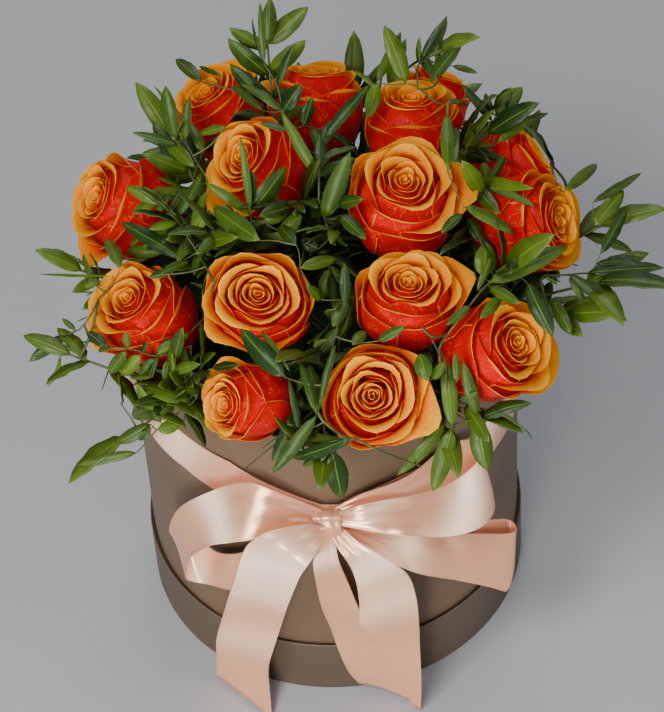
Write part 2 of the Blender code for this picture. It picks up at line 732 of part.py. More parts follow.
def build_bow(collection, cutters):
    """The knot, with the loops and tails cut back to its surface."""
    add_object("ribbon_knot", knot_mesh("ribbon_knot", 0), collection, "satin_peach")
    hollow = add_object("knot_space", knot_mesh("knot_space", GAP), cutters)
    hollow.hide_render = True
    hollow.display_type = "WIRE"
    for name, stations in STRIPS.items():
        strip = sheet(name, np.array(stations) * MM, RIBBON_THICKNESS, collection)
        strip.data.materials.append(material("satin_peach"))
        cut = strip.modifiers.new("knot", "BOOLEAN")
        cut.operation = "DIFFERENCE"
        cut.object = hollow


# Roses

def petal_grid(rose, ring, number, roses):
    """A petal's grid of points: rows from root to tip, columns from edge to edge."""
    count, ring_radius, top, half_angle, curl, across, along = ring
    middle_angle = math.radians(360 * number / count + rose["turn"] + 35 * (1 - ring_radius))
    grid = []
    rows = (0, 0.5, 0.82, 1) if along == 3 else (0, 0.55, 1)
    for v in rows:
        row = []
        for u in np.linspace(-1, 1, across + 1):
            wide = math.radians(half_angle) * (0.2 + 0.8 * min(1, v / 0.5))
            wide *= 1 - 0.3 * max(0, (v - 0.82) / 0.18)
            angle = middle_angle + u * wide
            height = ROOT_HEIGHT + (top - ROOT_HEIGHT) * v - 0.13 * u * u * v * v
            roll = max(0.0, (v - 0.5) / 0.5) ** 2
            radius = profile_at(BODY_SHAPE, height) * ring_radius * (1 + 0.07 * u) + curl * roll
            if v == 0:
                radius = ROOT_RADIUS * (0.5 + 0.5 * ring_radius)
            height -= 0.25 * curl * roll
            way = rose["side"] * math.cos(angle) + rose["across"] * math.sin(angle)
            point = (rose["base"] + rose["axis"] * rose["length"] * height
                     + rose["radius"] * radius * way)
            row.append(give_way(point, rose, roses))
        grid.append(row)
    return grid


def give_way(point, rose, roses):
    """Eases a point back from the plane halfway to each neighbouring bloom."""
    soft = 2 * MM
    for other in roses:
        if other is rose:
            continue
        gap = rose["middle"] - other["middle"]
        distance = np.linalg.norm(gap)
        if distance > 1.25 * (rose["radius"] + other["radius"]):
            continue
        way = gap / distance
        plane = other["middle"] + way * distance * other["radius"] / (rose["radius"] + other["radius"])
        room = (point - plane) @ way
        if room < soft:
            point = point + way * (soft * math.exp((room - soft) / soft) - room)
    return point


def build_core(name, rose, collection):
    """The rolled bud in the middle of the bloom, with the step of its wrapped petal, on its cup."""

    def build(bm):
        bmesh.ops.create_cone(bm, cap_ends=True, cap_tris=True, segments=CORE_SIDES, radius1=1, radius2=1,
                              depth=1)
        sleeve = [edge for edge in bm.edges if abs(edge.verts[0].co.z - edge.verts[1].co.z) > 0.5]
        bmesh.ops.subdivide_edges(bm, edges=sleeve, cuts=len(CORE_SHAPE) - 2)
        levels = sorted({round(vert.co.z, 3) for vert in bm.verts})
        for vert in bm.verts:
            level = levels.index(round(vert.co.z, 3))
            width, share = CORE_SHAPE[level]
            angle = math.atan2(vert.co.y, vert.co.x) % (2 * math.pi)
            far = math.hypot(vert.co.x, vert.co.y)
            step = angle / (2 * math.pi) if level > 2 else 0
            radius = far * width * rose["radius"] * (1 - 0.16 * step)
            if level == len(CORE_SHAPE) - 1:
                share += 0.06 if far < 0.5 else 0.04 * step
            vert.co = (rose["base"] + rose["axis"] * rose["length"] * share
                       + radius * (rose["side"] * math.cos(angle) + rose["across"] * math.sin(angle)))
        bmesh.ops.recalc_face_normals(bm, faces=bm.faces)

    return add_object(name + "_core", mesh_of(name, build), collection)


def build_rose(number, rose, roses, collection):
    name = f"rose_{number:02d}"
    bloom = name + "_bloom"
    pieces = [build_core(bloom, rose, collection)]
    for ring in PETAL_RINGS:
        for petal in range(ring[0]):
            grid = petal_grid(rose, ring, petal, roses)
            pieces.append(sheet(f"{bloom}_petal", grid, PETAL_THICKNESS, collection))
    union(bloom, pieces, "petal_orange")
    build_stem(name + "_stem", rose, collection)


def build_stem(name, rose, collection):
    """A stem, with the hip and its star of sepals under the bloom."""
    base = rose["base"] - rose["axis"] * GAP
    path = np.vstack((rose["stem"][:-1], base - rose["axis"] * (HIP_LENGTH - 2 * MM)))
    rod = tube(name + "_rod", path, STEM_RADIUS, 0, collection)
    union(name, [rod, hip_with_sepals(name + "_hip", rose, base, collection)], "stem_green")


def hip_with_sepals(name, rose, base, collection):
    """The rounded hip, whose rim spreads into pointed sepals that rise under the petals."""
    depth = HIP_LENGTH

    def build(bm):
        bmesh.ops.create_cone(bm, cap_ends=True, segments=2 * SEPALS, radius1=1, radius2=1, depth=1)
        sleeve = [edge for edge in bm.edges if abs(edge.verts[0].co.z - edge.verts[1].co.z) > 0.5]
        bmesh.ops.subdivide_edges(bm, edges=sleeve, cuts=2)
        levels = sorted({round(vert.co.z, 3) for vert in bm.verts})
        for vert in bm.verts:
            level = levels.index(round(vert.co.z, 3))
            angle = math.atan2(vert.co.y, vert.co.x)
            tip = round(angle / (math.pi / SEPALS)) % 2 == 0
            reach = (1.3, 1.9, 1.9, 1.9)[level] * STEM_RADIUS
            drop = (1.0, 0.55, 0.42, 0.06)[level] * depth
            if level in (1, 2) and tip:
                reach = SEPAL_REACH * rose["radius"]
                drop -= SEPAL_RISE
            vert.co = (base - rose["axis"] * drop
                       + reach * (rose["side"] * math.cos(angle) + rose["across"] * math.sin(angle)))
        bmesh.ops.triangulate(bm, faces=bm.faces)
        bmesh.ops.recalc_face_normals(bm, faces=bm.faces)

    return add_object(name, mesh_of(name, build), collection)


# Sprays

def build_spray(number, spray, collection):
    """A woody foot in the foam, its twigs and their leaves."""
    name = f"spray_{number:02d}"
    foot = spray["foot"]
    pieces = []
    for twig in spray["twigs"]:
        path = twig["path"]
        if not pieces:
            path = np.vstack((foot - (0, 0, HOLE_DEPTH - GAP), path))
        pieces.append(tube(name + "_twig", path, TWIG_RADIUS, 0, collection))
    for leaf in spray["leaves"]:
        rows = LARGE_LEAF_ROWS if leaf["length"] > LARGE_LEAF else SMALL_LEAF_ROWS
        left, middle, right = leaf_outline(leaf, rows)
        pieces.append(sheet(f"{name}_leaf", list(zip(left, right)), LEAF_THICKNESS, collection))
    union(name, pieces, "leaf_green")


def main():
    remove_everything()
    collection = new_collection("box_of_roses")
    holes = new_collection("holes")
    cutters = new_collection("cutters")
    roses = rose_layout()
    for number, rose in enumerate(roses):
        rose["turn"] = number * 40 * GOLDEN_SHARE
    sprays = spray_layout(roses)
    build_box(collection)
    build_foam(roses, sprays, collection, holes)
    build_band(collection)
    build_bow(collection, cutters)
    for number, rose in enumerate(roses, 1):
        build_rose(number, rose, roses, collection)
    for number, spray in enumerate(sprays, 1):
        build_spray(number, spray, collection)


if __name__ == "__main__":
    main()
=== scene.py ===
"""The finish of a box of roses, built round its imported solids.

A round card box stands on its turned-over lid, tied with a satin bow. Fifteen two-coloured roses and
eighteen leafy sprays stand in the foam inside. Sizes are in metres, +Z is up, the bow faces -Y.
"""

import functools
import math

import bpy
import numpy as np
from mathutils import Matrix, Vector
from mathutils.bvhtree import BVHTree


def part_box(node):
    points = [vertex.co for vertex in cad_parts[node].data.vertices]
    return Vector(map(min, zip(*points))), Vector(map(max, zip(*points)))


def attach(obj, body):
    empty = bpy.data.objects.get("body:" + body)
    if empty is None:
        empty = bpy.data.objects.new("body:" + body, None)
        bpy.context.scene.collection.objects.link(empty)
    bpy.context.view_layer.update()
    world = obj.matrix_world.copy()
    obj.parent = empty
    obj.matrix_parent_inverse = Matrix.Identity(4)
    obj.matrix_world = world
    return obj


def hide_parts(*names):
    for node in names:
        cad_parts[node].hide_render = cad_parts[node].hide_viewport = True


bl_info = {
    "name": "Box of roses",
    "version": (1, 0, 0),
    "blender": (4, 5, 0),
    "location": "View3D > Sidebar > Box of roses",
    "description": "Dresses a round box of roses: petals, leaves, satin bow, card, foam and light",
    "category": "Object",
}

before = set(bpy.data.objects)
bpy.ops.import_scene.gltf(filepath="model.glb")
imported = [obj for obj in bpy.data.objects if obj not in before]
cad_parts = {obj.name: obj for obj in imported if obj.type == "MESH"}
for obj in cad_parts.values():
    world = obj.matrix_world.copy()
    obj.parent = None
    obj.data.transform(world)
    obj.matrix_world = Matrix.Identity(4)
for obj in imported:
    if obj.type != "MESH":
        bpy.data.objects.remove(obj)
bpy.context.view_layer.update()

MM = 0.001
GAP = 0.3 * MM


def size_of(node):
    """A CAD node's radius, bottom and top, to a hundredth of a millimetre."""
    low, high = (np.round(corner, 5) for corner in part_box(node))
    return high[0], low[2], high[2]


# Sizes of the holder, from the frame
BOX_RADIUS, BOX_BOTTOM, BOX_TOP = size_of("box_body")
LID_RADIUS, _, LID_HEIGHT = size_of("box_lid")
LINER_RADIUS, LINER_BOTTOM, LINER_TOP = size_of("liner")
FOAM_TOP = size_of("foam")[2]
BOX_WALL = 2 * MM
BOX_INSIDE = BOX_RADIUS - BOX_WALL
LID_WALL = 1.7 * MM
LID_FLOOR = 2.3 * MM
LINER_WALL = 0.6 * MM
LINER_EDGE = 0.15 * MM
HOLE_DEPTH = 48 * MM
ROUND_SIDES = 160

# Ribbon
RIBBON_THICKNESS = 0.6 * MM
BAND_RADIUS = BOX_RADIUS + GAP + RIBBON_THICKNESS / 2
KNOT_CENTRE = np.array((-3, -97.1, 133.5)) * MM
KNOT_HALF = np.array((7.5, 5.6, 7.5)) * MM

# The band's upper and lower edge: angle round the box from the front in degrees, height in mm
BAND_UPPER = ((-180, 152), (-90, 158), (-48, 161), (-30, 159), (-15, 148), (-4, 139), (4, 139),
              (12, 147), (20, 150), (60, 149), (90, 149), (180, 152))
BAND_LOWER = ((-180, 126), (-90, 133), (-48, 137), (-30, 132), (-15, 130), (-4, 129), (4, 129),
              (12, 126), (20, 124), (60, 123), (90, 123), (180, 126))

# Each strip's stations in mm from the knot outwards: a point on its upper edge and one on its lower edge
STRIPS = {
    "ribbon_loop_left": (
        (-4, -95, 139, -4, -99, 135), (-22, -94, 152, -21, -103, 137), (-35, -90, 157, -37, -105, 136),
        (-46, -86, 152, -49, -104, 133), (-58, -81, 141, -59, -98, 124), (-69, -74, 124, -67, -90, 106),
        (-77, -70, 108, -72, -83, 88), (-78, -65, 95, -72, -75, 72), (-70, -63.5, 89, -65, -74, 65),
        (-56, -76, 92, -52, -82, 71), (-38, -87, 106, -38, -90, 85), (-20, -93, 122, -20, -94.5, 108),
        (-6, -94, 134, -6, -95, 129),
    ),
    "ribbon_loop_right": (
        (-1, -96, 139, 0, -99.5, 135), (11, -97, 145, 12, -102, 134), (24, -95, 145, 22, -105, 133),
        (34, -92, 143, 33, -107, 133), (47, -88, 142, 49, -104, 127), (60, -82, 145, 65, -96, 123),
        (67, -76, 147, 73, -86, 124), (64, -70, 153, 70, -73, 128), (54, -77, 158, 57, -77, 132),
        (42, -84.5, 156, 43, -85, 130), (28, -90.3, 153, 28, -91, 130), (12, -93.8, 148, 12, -94.5, 133),
        (-1, -94, 140, 0, -95, 136),
    ),
    "ribbon_loop_low": (
        (-1, -96, 133, -1, -98, 129), (14, -96, 126, 15, -101, 115), (31, -92, 116, 34, -101, 99),
        (49, -87, 107, 55, -99, 87), (66, -83, 101, 68, -97, 79), (79, -80, 97, 75, -95, 73),
        (81, -77.5, 98, 77, -92.5, 75), (78, -75, 100, 74, -89, 77), (64, -77, 104, 60, -88, 80),
    ),
    "ribbon_tail_left": (
        (-4, -100, 137, -3, -101, 131), (-17, -105, 144, -9, -109, 130), (-31, -109, 146, -14, -113, 126),
        (-39, -109, 138, -17, -113, 119), (-44, -104, 120, -20, -108, 104), (-48, -97, 97, -24, -103, 86),
        (-53, -91, 74, -28, -99, 66), (-58, -87, 50, -33, -97, 44), (-62, -84, 26, -38, -97, 20),
        (-63, -82, 3, -37, -108, 0.9),
    ),
    "ribbon_tail_middle": (
        (-6, -98, 130, -1, -99, 129), (-8, -97.5, 117, -1, -98, 115), (-12, -96.5, 103, 1, -98.7, 99),
        (-10, -96.5, 78, 8, -99, 73), (-5, -97, 46, 18, -99, 40), (0, -97.5, 26, 24, -99.5, 19),
        (5, -97, 8, 33, -106, 0.9),
    ),
    "ribbon_tail_right": (
        (-3, -100, 131, 1, -99, 134), (0, -103, 124, 9, -105, 129), (5, -106, 115, 20, -109, 122),
        (7, -105.5, 99, 30, -107.5, 105), (8, -104, 82, 34, -105, 86), (8, -103, 65, 35, -104, 65),
        (15, -103.5, 46, 35, -104.5, 43), (23, -105, 25, 35, -106.5, 20), (31, -110, 3, 34, -110.5, 0.9),
    ),
}

# Roses: middle of the open face in mm, lean from upright and direction of the lean in degrees
# (0 is to the front, 90 to the right), head radius and bloom length in mm
ROSES = (
    (-101, 32, 222, 51, -81, 23.5, 48),
    (-48, 76, 242, 23, -92, 19.5, 44),
    (-32, 16, 257, 36, -61, 21.0, 46),
    (5, 76, 250, 30, 168, 21.0, 46),
    (47, 44, 260, 17, 163, 20.5, 44),
    (63, 82, 236, 41, 143, 16.5, 40),
    (40, -17, 268, 12, 27, 24.0, 50),
    (102, 30, 233, 59, 105, 18.5, 44),
    (108, -21, 240, 62, 66, 21.5, 46),
    (-86, -34, 224, 27, -74, 22.0, 46),
    (-27, -57, 244, 29, -1, 22.0, 46),
    (38, -61, 250, 12, 18, 20.5, 46),
    (84, -80, 227, 46, 59, 22.0, 46),
    (-46, -91, 212, 60, -59, 17.0, 38),
    (19, -103, 225, 38, -3, 21.5, 46),
)
STEM_RADIUS = 2.2 * MM
STEM_SPREAD = 0.7
STEM_POINTS = 12
STEM_SLACK = 0.9 * MM
HIP_LENGTH = 7 * MM
BLOOM_MIDDLE = 0.62
# The outline that leaves and twigs keep out of, with the sepals and the curled tips: length, width
BLOOM_OUTLINE = ((-0.2, -0.1, 0.1, 0.3, 0.6, 0.85, 1.05, 1.12),
                 (0.3, 0.62, 0.78, 1.02, 1.12, 1.3, 1.3, 0.0))

# Sprays: foot on the foam, then each frond's points to where its tip leaf ends, and its leaf
# length, all in mm
SPRAYS = (
    ((-15, 42),
     ((-14, 44, 205), (-13, 50, 262), (-17, 64, 284), (-19, 73, 295), 26),
     ((-20, 52, 205), (-15, 64, 250), (-9, 76, 268), 28)),
    ((24, 50),
     ((26, 56, 215), (33, 66, 255), (36, 74, 277), 30),
     ((34, 62, 220), (58, 64, 258), (63, 80, 276), 26)),
    ((50, 36),
     ((60, 36, 225), (70, 40, 250), (72, 50, 259), 24),
     ((62, 20, 232), (88, 28, 255), (106, 30, 258), 28)),
    ((62, 10),
     ((84, 2, 222), (112, 6, 244), (128, 10, 246), 28),
     ((86, -14, 205), (126, -10, 226), (145, 2, 236), 30),
     ((82, 30, 205), (100, 50, 222), (113, 60, 214), 30)),
    ((58, -18),
     ((84, -34, 205), (120, -44, 222), (150, -41, 226), 34),
     ((84, -42, 198), (116, -52, 212), (134, -58, 210), 28)),
    ((48, -34),
     ((60, -42, 215), (84, -48, 242), (107, -41, 245), 34),
     ((74, -44, 205), (98, -60, 222), (109, -66, 215), 26)),
    ((34, -58),
     ((42, -70, 197), (51, -92, 206), (49, -105, 191), (45, -112, 173), 30),
     ((46, -64, 198), (62, -88, 206), (68, -100, 190), (70, -107, 176), 28)),
    ((50, -48),
     ((52, -68, 206), (70, -93, 206), (96, -92, 199), 28)),
    ((-4, -58),
     ((-2, -72, 197), (-3, -95, 200), (1, -108, 180), (3, -111, 168), 30),
     ((-8, -72, 197), (-12, -94, 200), (-25, -106, 182), 34)),
    ((6, -38),
     ((2, -54, 200), (-6, -74, 214), (-20, -86, 222), 28),
     ((6, -50, 205), (8, -62, 235), (12, -54, 250), 30)),
    ((-10, 2),
     ((-6, -4, 205), (-4, -2, 245), (-8, 10, 268), 30),
     ((4, -10, 205), (8, -18, 245), (6, -12, 262), 28)),
    ((-22, -12),
     ((-22, -16, 205), (-30, -20, 238), (-46, -8, 252), 30),
     ((-40, -28, 205), (-53, -42, 230), (-54, -30, 240), 28)),
    ((-36, 14),
     ((-42, 8, 210), (-56, 24, 246), (-70, 58, 262), 28),
     ((-46, -4, 215), (-60, -10, 244), (-84, 6, 254), 28)),
    ((-56, -37),
     ((-66, -44, 190), (-100, -44, 200), (-132, -44, 196), 26),
     ((-68, -46, 186), (-86, -54, 198), (-104, -52, 191), 22)),
    ((-40, -46),
     ((-58, -62, 188), (-88, -78, 180), (-114, -84, 167), 32),
     ((-56, -60, 190), (-70, -74, 196), (-80, -84, 188), 26)),
    ((-60, 2),
     ((-78, -4, 196), (-98, -6, 212), (-125, -8, 214), 24)),
    ((20, 64),
     ((20, 82, 200), (20, 104, 220), (16, 120, 214), 30),
     ((44, 74, 200), (66, 92, 206), (82, 98, 200), 28)),
    ((-34, 50),
     ((-50, 66, 200), (-70, 80, 214), (-90, 88, 208), 30),
     ((-24, 78, 205), (-28, 104, 222), (-32, 118, 216), 28)),
)
TWIG_STEP = 9 * MM
TIP_SHARE = 0.85
TWIG_RADIUS = 1.0 * MM
TWIG_SLACK = 1.5 * MM
LEAF_WIDTH = 0.3
LEAF_SPACING = 1.25
LEAF_START = 0.56
LEAF_TRIES = 14
SEED = 7
BEND_ROUNDS = 60
# Room that leaves and twigs leave over the box's rim, and round a leaf and a stem
RIM_ROOM = 4 * MM
LEAF_ROOM = 0.6 * MM
LEAF_FROM_BLOOM, LEAF_FROM_TWIG = 1.5 * MM, 1.0 * MM
# Where a leaf's middle is taken to be, as a share of its length
LEAF_MIDDLE = 0.55

# Fill: short side twigs that reach places among the blooms, and more pairs of leaves on the main twigs
FILL_SEED = 11
FILL_PLACES = 800
FILL_REACH = 118 * MM
FILL_LOW, FILL_HIGH = 186 * MM, 262 * MM
FILL_EDGE = 110 * MM
FILL_APART = 12 * MM
SPRIG_SHORT, SPRIG_LONG = 14 * MM, 75 * MM
SPRIG_RADIUS = 0.6 * MM
SPRIG_LEAF = 23 * MM
SPRIG_SPACING = 9 * MM
PAIR_SPACING = 13 * MM
# Where the added leaves start along a main twig and along a side twig, as shares of its length
PAIR_START, SPRIG_START = 0.42, 0.3
FILL_TRIES = 6
LEAF_APART = 5 * MM

# Leaves the photo shows: root, tip and width in mm, and where it has one, a bend to the side as a share
# of the length
POSED_LEAVES = (
    (-57, 31, 252, -69, 59, 262, 2.3, -0.12), (-56, 32, 252, -53, 45, 266, 4.9),
    (-60, 26, 238, -71, 52, 246, 6.8), (-52, 17, 249, -66, 41, 246, 6.3),
    (-66, 7, 238, -84, 17, 240, 6.3, 0.05), (-61, -3, 236, -74, -7, 236, 4.4),
    (-59, -21, 230, -87, 3, 232, 7.1), (-61, -4, 240, -49, 10, 250, 5.8, -0.1),
    (-54, -12, 238, -47, 4, 247, 4.9, 0.05), (-54, -12, 238, -46, -5, 244, 5.3),
    (-51, -15, 234, -33, -37, 258, 7.4), (-56, -11, 232, -62, -24, 232, 4.9),
    (-87, -26, 232, -94, 0, 225, 6.2), (-100, -26, 225, -105, -1, 217, 2.2),
    (-91, -26, 228, -125, -8, 214, 1.3), (-97, -25, 225, -104, -24, 220, 4),
    (-69, -38, 239, -56, -28, 236, 3.9, 0.1), (-74, -36, 236, -62, -34, 237, 3.9),
    (-115, -32, 198, -132, -41, 192, 5.8, -0.05), (-110, -31, 200, -116, -25, 202, 2.7),
    (-118, -37, 190, -125, -49, 180, 2.2, 0.35), (-107, -34, 196, -114, -32, 192, 1.8, 0.3),
    (-94, -60, 219, -103, -50, 219, 5.2), (-85, -61, 219, -85, -59, 228, 3.5),
    (-79, -59, 213, -76, -59, 220, 3), (-73, -58, 210, -66, -54, 215, 4.8),
    (-86, -60, 216, -95, -58, 200, 6.1), (-80, -59, 212, -90, -60, 200, 6.1),
    (-74, -58, 208, -82, -61, 200, 5.3), (-73, -58, 208, -77, -62, 202, 3.9),
    (-68, -59, 208, -71, -65, 200, 4.8), (-76, -64, 202, -86, -60, 198, 3.5),
    (-92, -59, 217, -99, -50, 206, 3.1), (-85, -86, 178, -112, -86, 172, 4.8),
    (-78, -77, 186, -95, -80, 178, 6.2, 0.1), (-78, -79, 186, -84, -81, 180, 4),
    (-75, -81, 186, -65, -78, 186, 6.1), (-60, -82, 203, -81, -64, 196, 10.5),
    (-74, -78, 188, -78, -68, 192, 6.6), (-73, -77, 188, -68, -68, 194, 5.7),
    (-79, -66, 194, -86, -66, 190, 3.5), (-62, -74, 196, -66, -67, 204, 5.2),
    (-56, -86, 212, -60, -73, 208, 5.2), (-17, -96, 232, -35, -73, 240, 8.9, 0.05),
    (-13, -111, 214, -16, -93, 228, 3), (-5, -111, 224, -11, -87, 232, 4.2),
    (-5, -109, 222, -26, -118, 196, 5.9), (-12, -94, 208, -26, -107, 190, 6),
    (-26, -75, 239, -15, -93, 232, 3), (9, -122, 221, -17, -111, 197, 5.9, 0.05),
    (0, -111, 200, 3, -118, 176, 9.9), (-1, -111, 198, -13, -110, 190, 4.3),
    (-3, -107, 226, 5, -87, 241, 3.4, 0.05), (4, -121, 218, -13, -104, 201, 3.8),
    (10, -67, 244, 11, -54, 256, 5.1), (11, -63, 244, 4, -73, 236, 6.4), (23, -87, 241, 35, -86, 248, 4.6),
    (12, -90, 243, 18, -80, 240, 5.1), (0, -61, 241, -6, -63, 253, 4.7), (-8, -52, 252, 8, -42, 246, 5.6),
    (-9, -42, 256, -16, -22, 248, 6), (0, -32, 242, -7, -29, 246, 6.1),
    (-28, -20, 256, -30, 3, 280, 3.5, -0.03), (-24, -41, 259, -44, -14, 254, 9.5),
    (-23, -20, 250, -11, -17, 254, 7.4), (-15, -26, 248, -6, -20, 252, 7), (3, -3, 256, -12, 15, 282, 5.2),
    (-11, 27, 270, -2, 33, 280, 8.4), (3, -2, 262, 4, 9, 272, 4.4), (6, 10, 268, 28, 26, 284, 5.3),
    (4, -24, 253, 17, -13, 282, 8.6, 0.05), (11, -25, 262, 21, -37, 276, 6),
    (-3, 23, 264, 2, 31, 274, 5.8), (11, -22, 252, 21, -38, 252, 6.5),
    (-18, 39, 288, -18, 60, 306, 3.1, 0.03), (-18, 40, 288, -22, 57, 300, 1.3, 0.1),
    (-13, 39, 274, -4, 49, 290, 4), (-11, 28, 268, -30, 45, 272, 4.4, -0.05),
    (-20, 24, 274, -33, 50, 267, 3.6), (-48, 74, 248, -60, 95, 244, 6), (-39, 74, 251, -49, 86, 247, 2.3),
    (-37, 27, 263, -49, 32, 255, 4), (-9, 13, 271, -22, 17, 273, 3.9), (44, 44, 266, 36, 64, 284, 8.5),
    (31, 47, 265, 44, 68, 276, 5), (30, 43, 265, 21, 59, 262, 3.6), (31, 40, 271, 26, 25, 264, 6.7),
    (51, 61, 262, 52, 68, 272, 2.7), (52, 61, 264, 64, 70, 280, 4.1, 0.05),
    (59, 60, 262, 60, 68, 272, 3.2), (53, 62, 264, 70, 65, 270, 1.8),
    (55, 47, 263, 71, 62, 272, 6.8, 0.05), (67, 71, 250, 78, 65, 250, 3.2),
    (61, 20, 274, 71, 38, 255, 4.4), (58, -17, 270, 60, 14, 274, 6.1), (61, -20, 275, 64, 12, 267, 4.8),
    (73, -12, 250, 64, -16, 275, 7.8), (82, 37, 246, 69, 49, 259, 4.1), (83, 43, 244, 80, 52, 250, 3.6),
    (84, 42, 246, 92, 50, 254, 6.8), (84, 40, 246, 97, 50, 254, 8.6, 0.1),
    (83, 29, 252, 101, 29, 252, 4.5), (82, 18, 250, 108, 32, 255, 4.9, 0.2),
    (81, 22, 246, 70, 26, 240, 3.1), (81, 39, 244, 69, 35, 240, 2.3), (77, -3, 248, 85, 9, 252, 4.4),
    (77, -1, 247, 75, 7, 250, 4.4), (73, 2, 244, 95, -27, 265, 5.7, -0.08),
    (75, -10, 250, 94, -33, 260, 5.7, 0.05), (70, -3, 245, 80, -28, 252, 6.6),
    (64, -30, 260, 85, -36, 247, 6.5), (71, -28, 237, 66, -21, 244, 6.1),
    (63, -32, 258, 53, -41, 256, 4.7), (67, -27, 236, 51, -58, 260, 4.3),
    (108, -18, 253, 126, 9, 242, 5.3), (122, -19, 232, 137, -2, 236, 7.5),
    (122, -9, 236, 146, 6, 238, 4, -0.05), (123, -33, 228, 137, -12, 234, 5.3, 0.05),
    (121, -35, 224, 142, -33, 224, 4), (117, -38, 222, 151, -38, 222, 7),
    (108, -43, 228, 129, -57, 216, 5.2, 0.05), (114, -48, 216, 133, -59, 212, 5.7, 0.1),
    (125, -39, 218, 132, -57, 210, 5.3, -0.3), (109, -38, 220, 116, -48, 212, 3.5),
    (72, -59, 242, 108, -44, 246, 9), (67, -59, 238, 74, -47, 246, 3), (70, -51, 238, 73, -38, 246, 9.9),
    (72, -64, 245, 84, -79, 249, 5.1), (89, -57, 238, 98, -78, 226, 8.6, -0.05),
    (100, -54, 224, 107, -68, 216, 6.1), (76, -69, 244, 66, -82, 245, 5.1),
    (63, -71, 242, 52, -81, 241, 4.2, 0.1), (52, -107, 206, 51, -86, 226, 6.8),
    (52, -106, 204, 42, -123, 182, 8.6, 0.03), (50, -102, 204, 27, -116, 186, 6, 0.05),
    (63, -102, 206, 58, -91, 230, 5.5), (64, -103, 204, 66, -115, 184, 9.9, -0.12),
    (65, -102, 204, 87, -102, 212, 6.8, 0.1), (42, -103, 232, 40, -92, 237, 7.6),
    (55, -98, 224, 55, -90, 234, 3.8), (44, -101, 230, 51, -93, 232, 4.2),
    (57, -99, 214, 64, -99, 218, 3.4),
)
# Twigs the photo shows, in mm from the root to the tip
POSED_TWIGS = (
    ((-46, 8, 249), (-51, 19, 250), (-56, 31, 252)),
    ((-45, -54, 249), (-52, -21, 232), (-56, -15, 236), (-61, -4, 238), (-66, 7, 238)),
    ((-97, -35, 224), (-101, -41, 220), (-106, -45, 216), (-115, -32, 198)),
    ((-97, -57, 219), (-107, -35, 196), (-118, -37, 190)),
    ((-58, -54, 210), (-65, -55, 208), (-74, -57, 208), (-82, -59, 215), (-91, -58, 216), (-95, -57, 216)),
    ((-60, -83, 204), (-68, -77, 190), (-75, -80, 186), (-80, -83, 182), (-85, -86, 178)),
    ((10, -119, 217), (21, -124, 213), (38, -113, 188)),
    ((-5, -109, 222), (-2, -102, 228), (2, -91, 236), (7, -74, 242)),
    ((2, -12, 252), (3, -2, 262), (6, 10, 268)), ((6, -26, 244), (2, -12, 252), (3, -3, 256)),
    ((-5, 10, 262), (-11, 27, 268), (-13, 39, 274), (-18, 39, 288)),
    ((77, 17, 240), (81, 22, 246), (83, 37, 246), (84, 42, 246)),
    ((49, -80, 228), (63, -70, 241), (72, -57, 240), (83, -51, 246)),
    ((96, -40, 225), (108, -42, 226), (117, -38, 222), (125, -39, 218)),
    ((51, -89, 228), (51, -99, 214), (52, -106, 205)), ((52, -106, 205), (58, -103, 204), (64, -102, 204)),
    ((-27, -17, 222), (-28, -20, 240), (-28, -20, 256)), ((49, 39, 266), (51, 61, 262), (59, 61, 262)),
    ((41, -85, 247), (45, -83, 238), (49, -87, 228)),
)
POSED_DROOP = 0.1
# A bend round a bloom that is longer than this share of the straight way is left out
LONGEST_BEND = 1.2

# Petals from the outermost to the innermost: place in the order, width and height of the tip as
# shares of the head radius and bloom length, half width and curl in degrees, where the curl starts,
# roll of the sides, drop of the corners
PETAL_LAYERS = (
    (0.00, 0.99, 0.79, 46, 104, 0.77, 0.13, 0.20),
    (0.10, 0.97, 0.82, 52, 92, 0.80, 0.13, 0.18),
    (0.20, 0.95, 0.87, 60, 82, 0.83, 0.10, 0.15),
    (0.28, 0.93, 0.925, 68, 84, 0.86, 0.07, 0.14),
    (0.34, 0.90, 0.97, 76, 88, 0.88, 0.05, 0.14),
    (0.40, 0.85, 1.00, 82, 80, 0.90, 0.04, 0.15),
    (0.47, 0.75, 1.00, 88, 60, 0.91, 0.03, 0.15),
    (0.60, 0.55, 0.985, 96, 46, 0.925, 0.02, 0.14),
    (0.80, 0.26, 0.97, 104, 34, 0.94, 0.01, 0.10),
    (1.00, 0.04, 0.96, 118, 18, 0.95, 0.00, 0.05),
)
GOLDEN_ANGLE = 137.5
# A petal's distance from the axis at shares of the bloom's length
BUD_SHAPE = ((0.0, 0.24), (0.08, 0.5), (0.2, 0.76), (0.4, 0.95), (0.55, 1.0), (0.7, 0.95), (0.85, 0.8),
             (1.0, 0.6))
PETAL_ROWS, PETAL_COLUMNS = 14, 15
# Room in which a petal gives way to a neighbouring bloom
PETAL_SOFT = 1.5 * MM
# Each rose's widest outer petal: the way it opens, in degrees in the photo (0 is right, 90 is up), and
# how far
OPEN_PETALS = ((225, 1.1), (60, 1.0), (215, 0.9), (95, 0.9), (80, 1.0), (90, 0.8), (0, 1.2), (10, 0.9),
               (-10, 1.0), (200, 0.8), (215, 0.7), (10, 1.1), (-15, 1.25), (120, 0.9), (-30, 1.1))
PHOTO_RIGHT = np.array((1.0, 0, 0))
PHOTO_UP = np.array((0, 0.742, 0.67))

# The pale veins on a petal's back
VEIN_COLOUR = (0.95, 0.12, 0.04)

# Sepals: reach as a share of the head radius, width as a share of the length, how far they curl back
SEPALS = 5
SEPAL_LENGTH, SEPAL_WIDTH, SEPAL_DROOP = 0.85, 0.3, 0.22
SEPAL_RING = 3.6 * MM
SEPAL_FOLD = 0.35
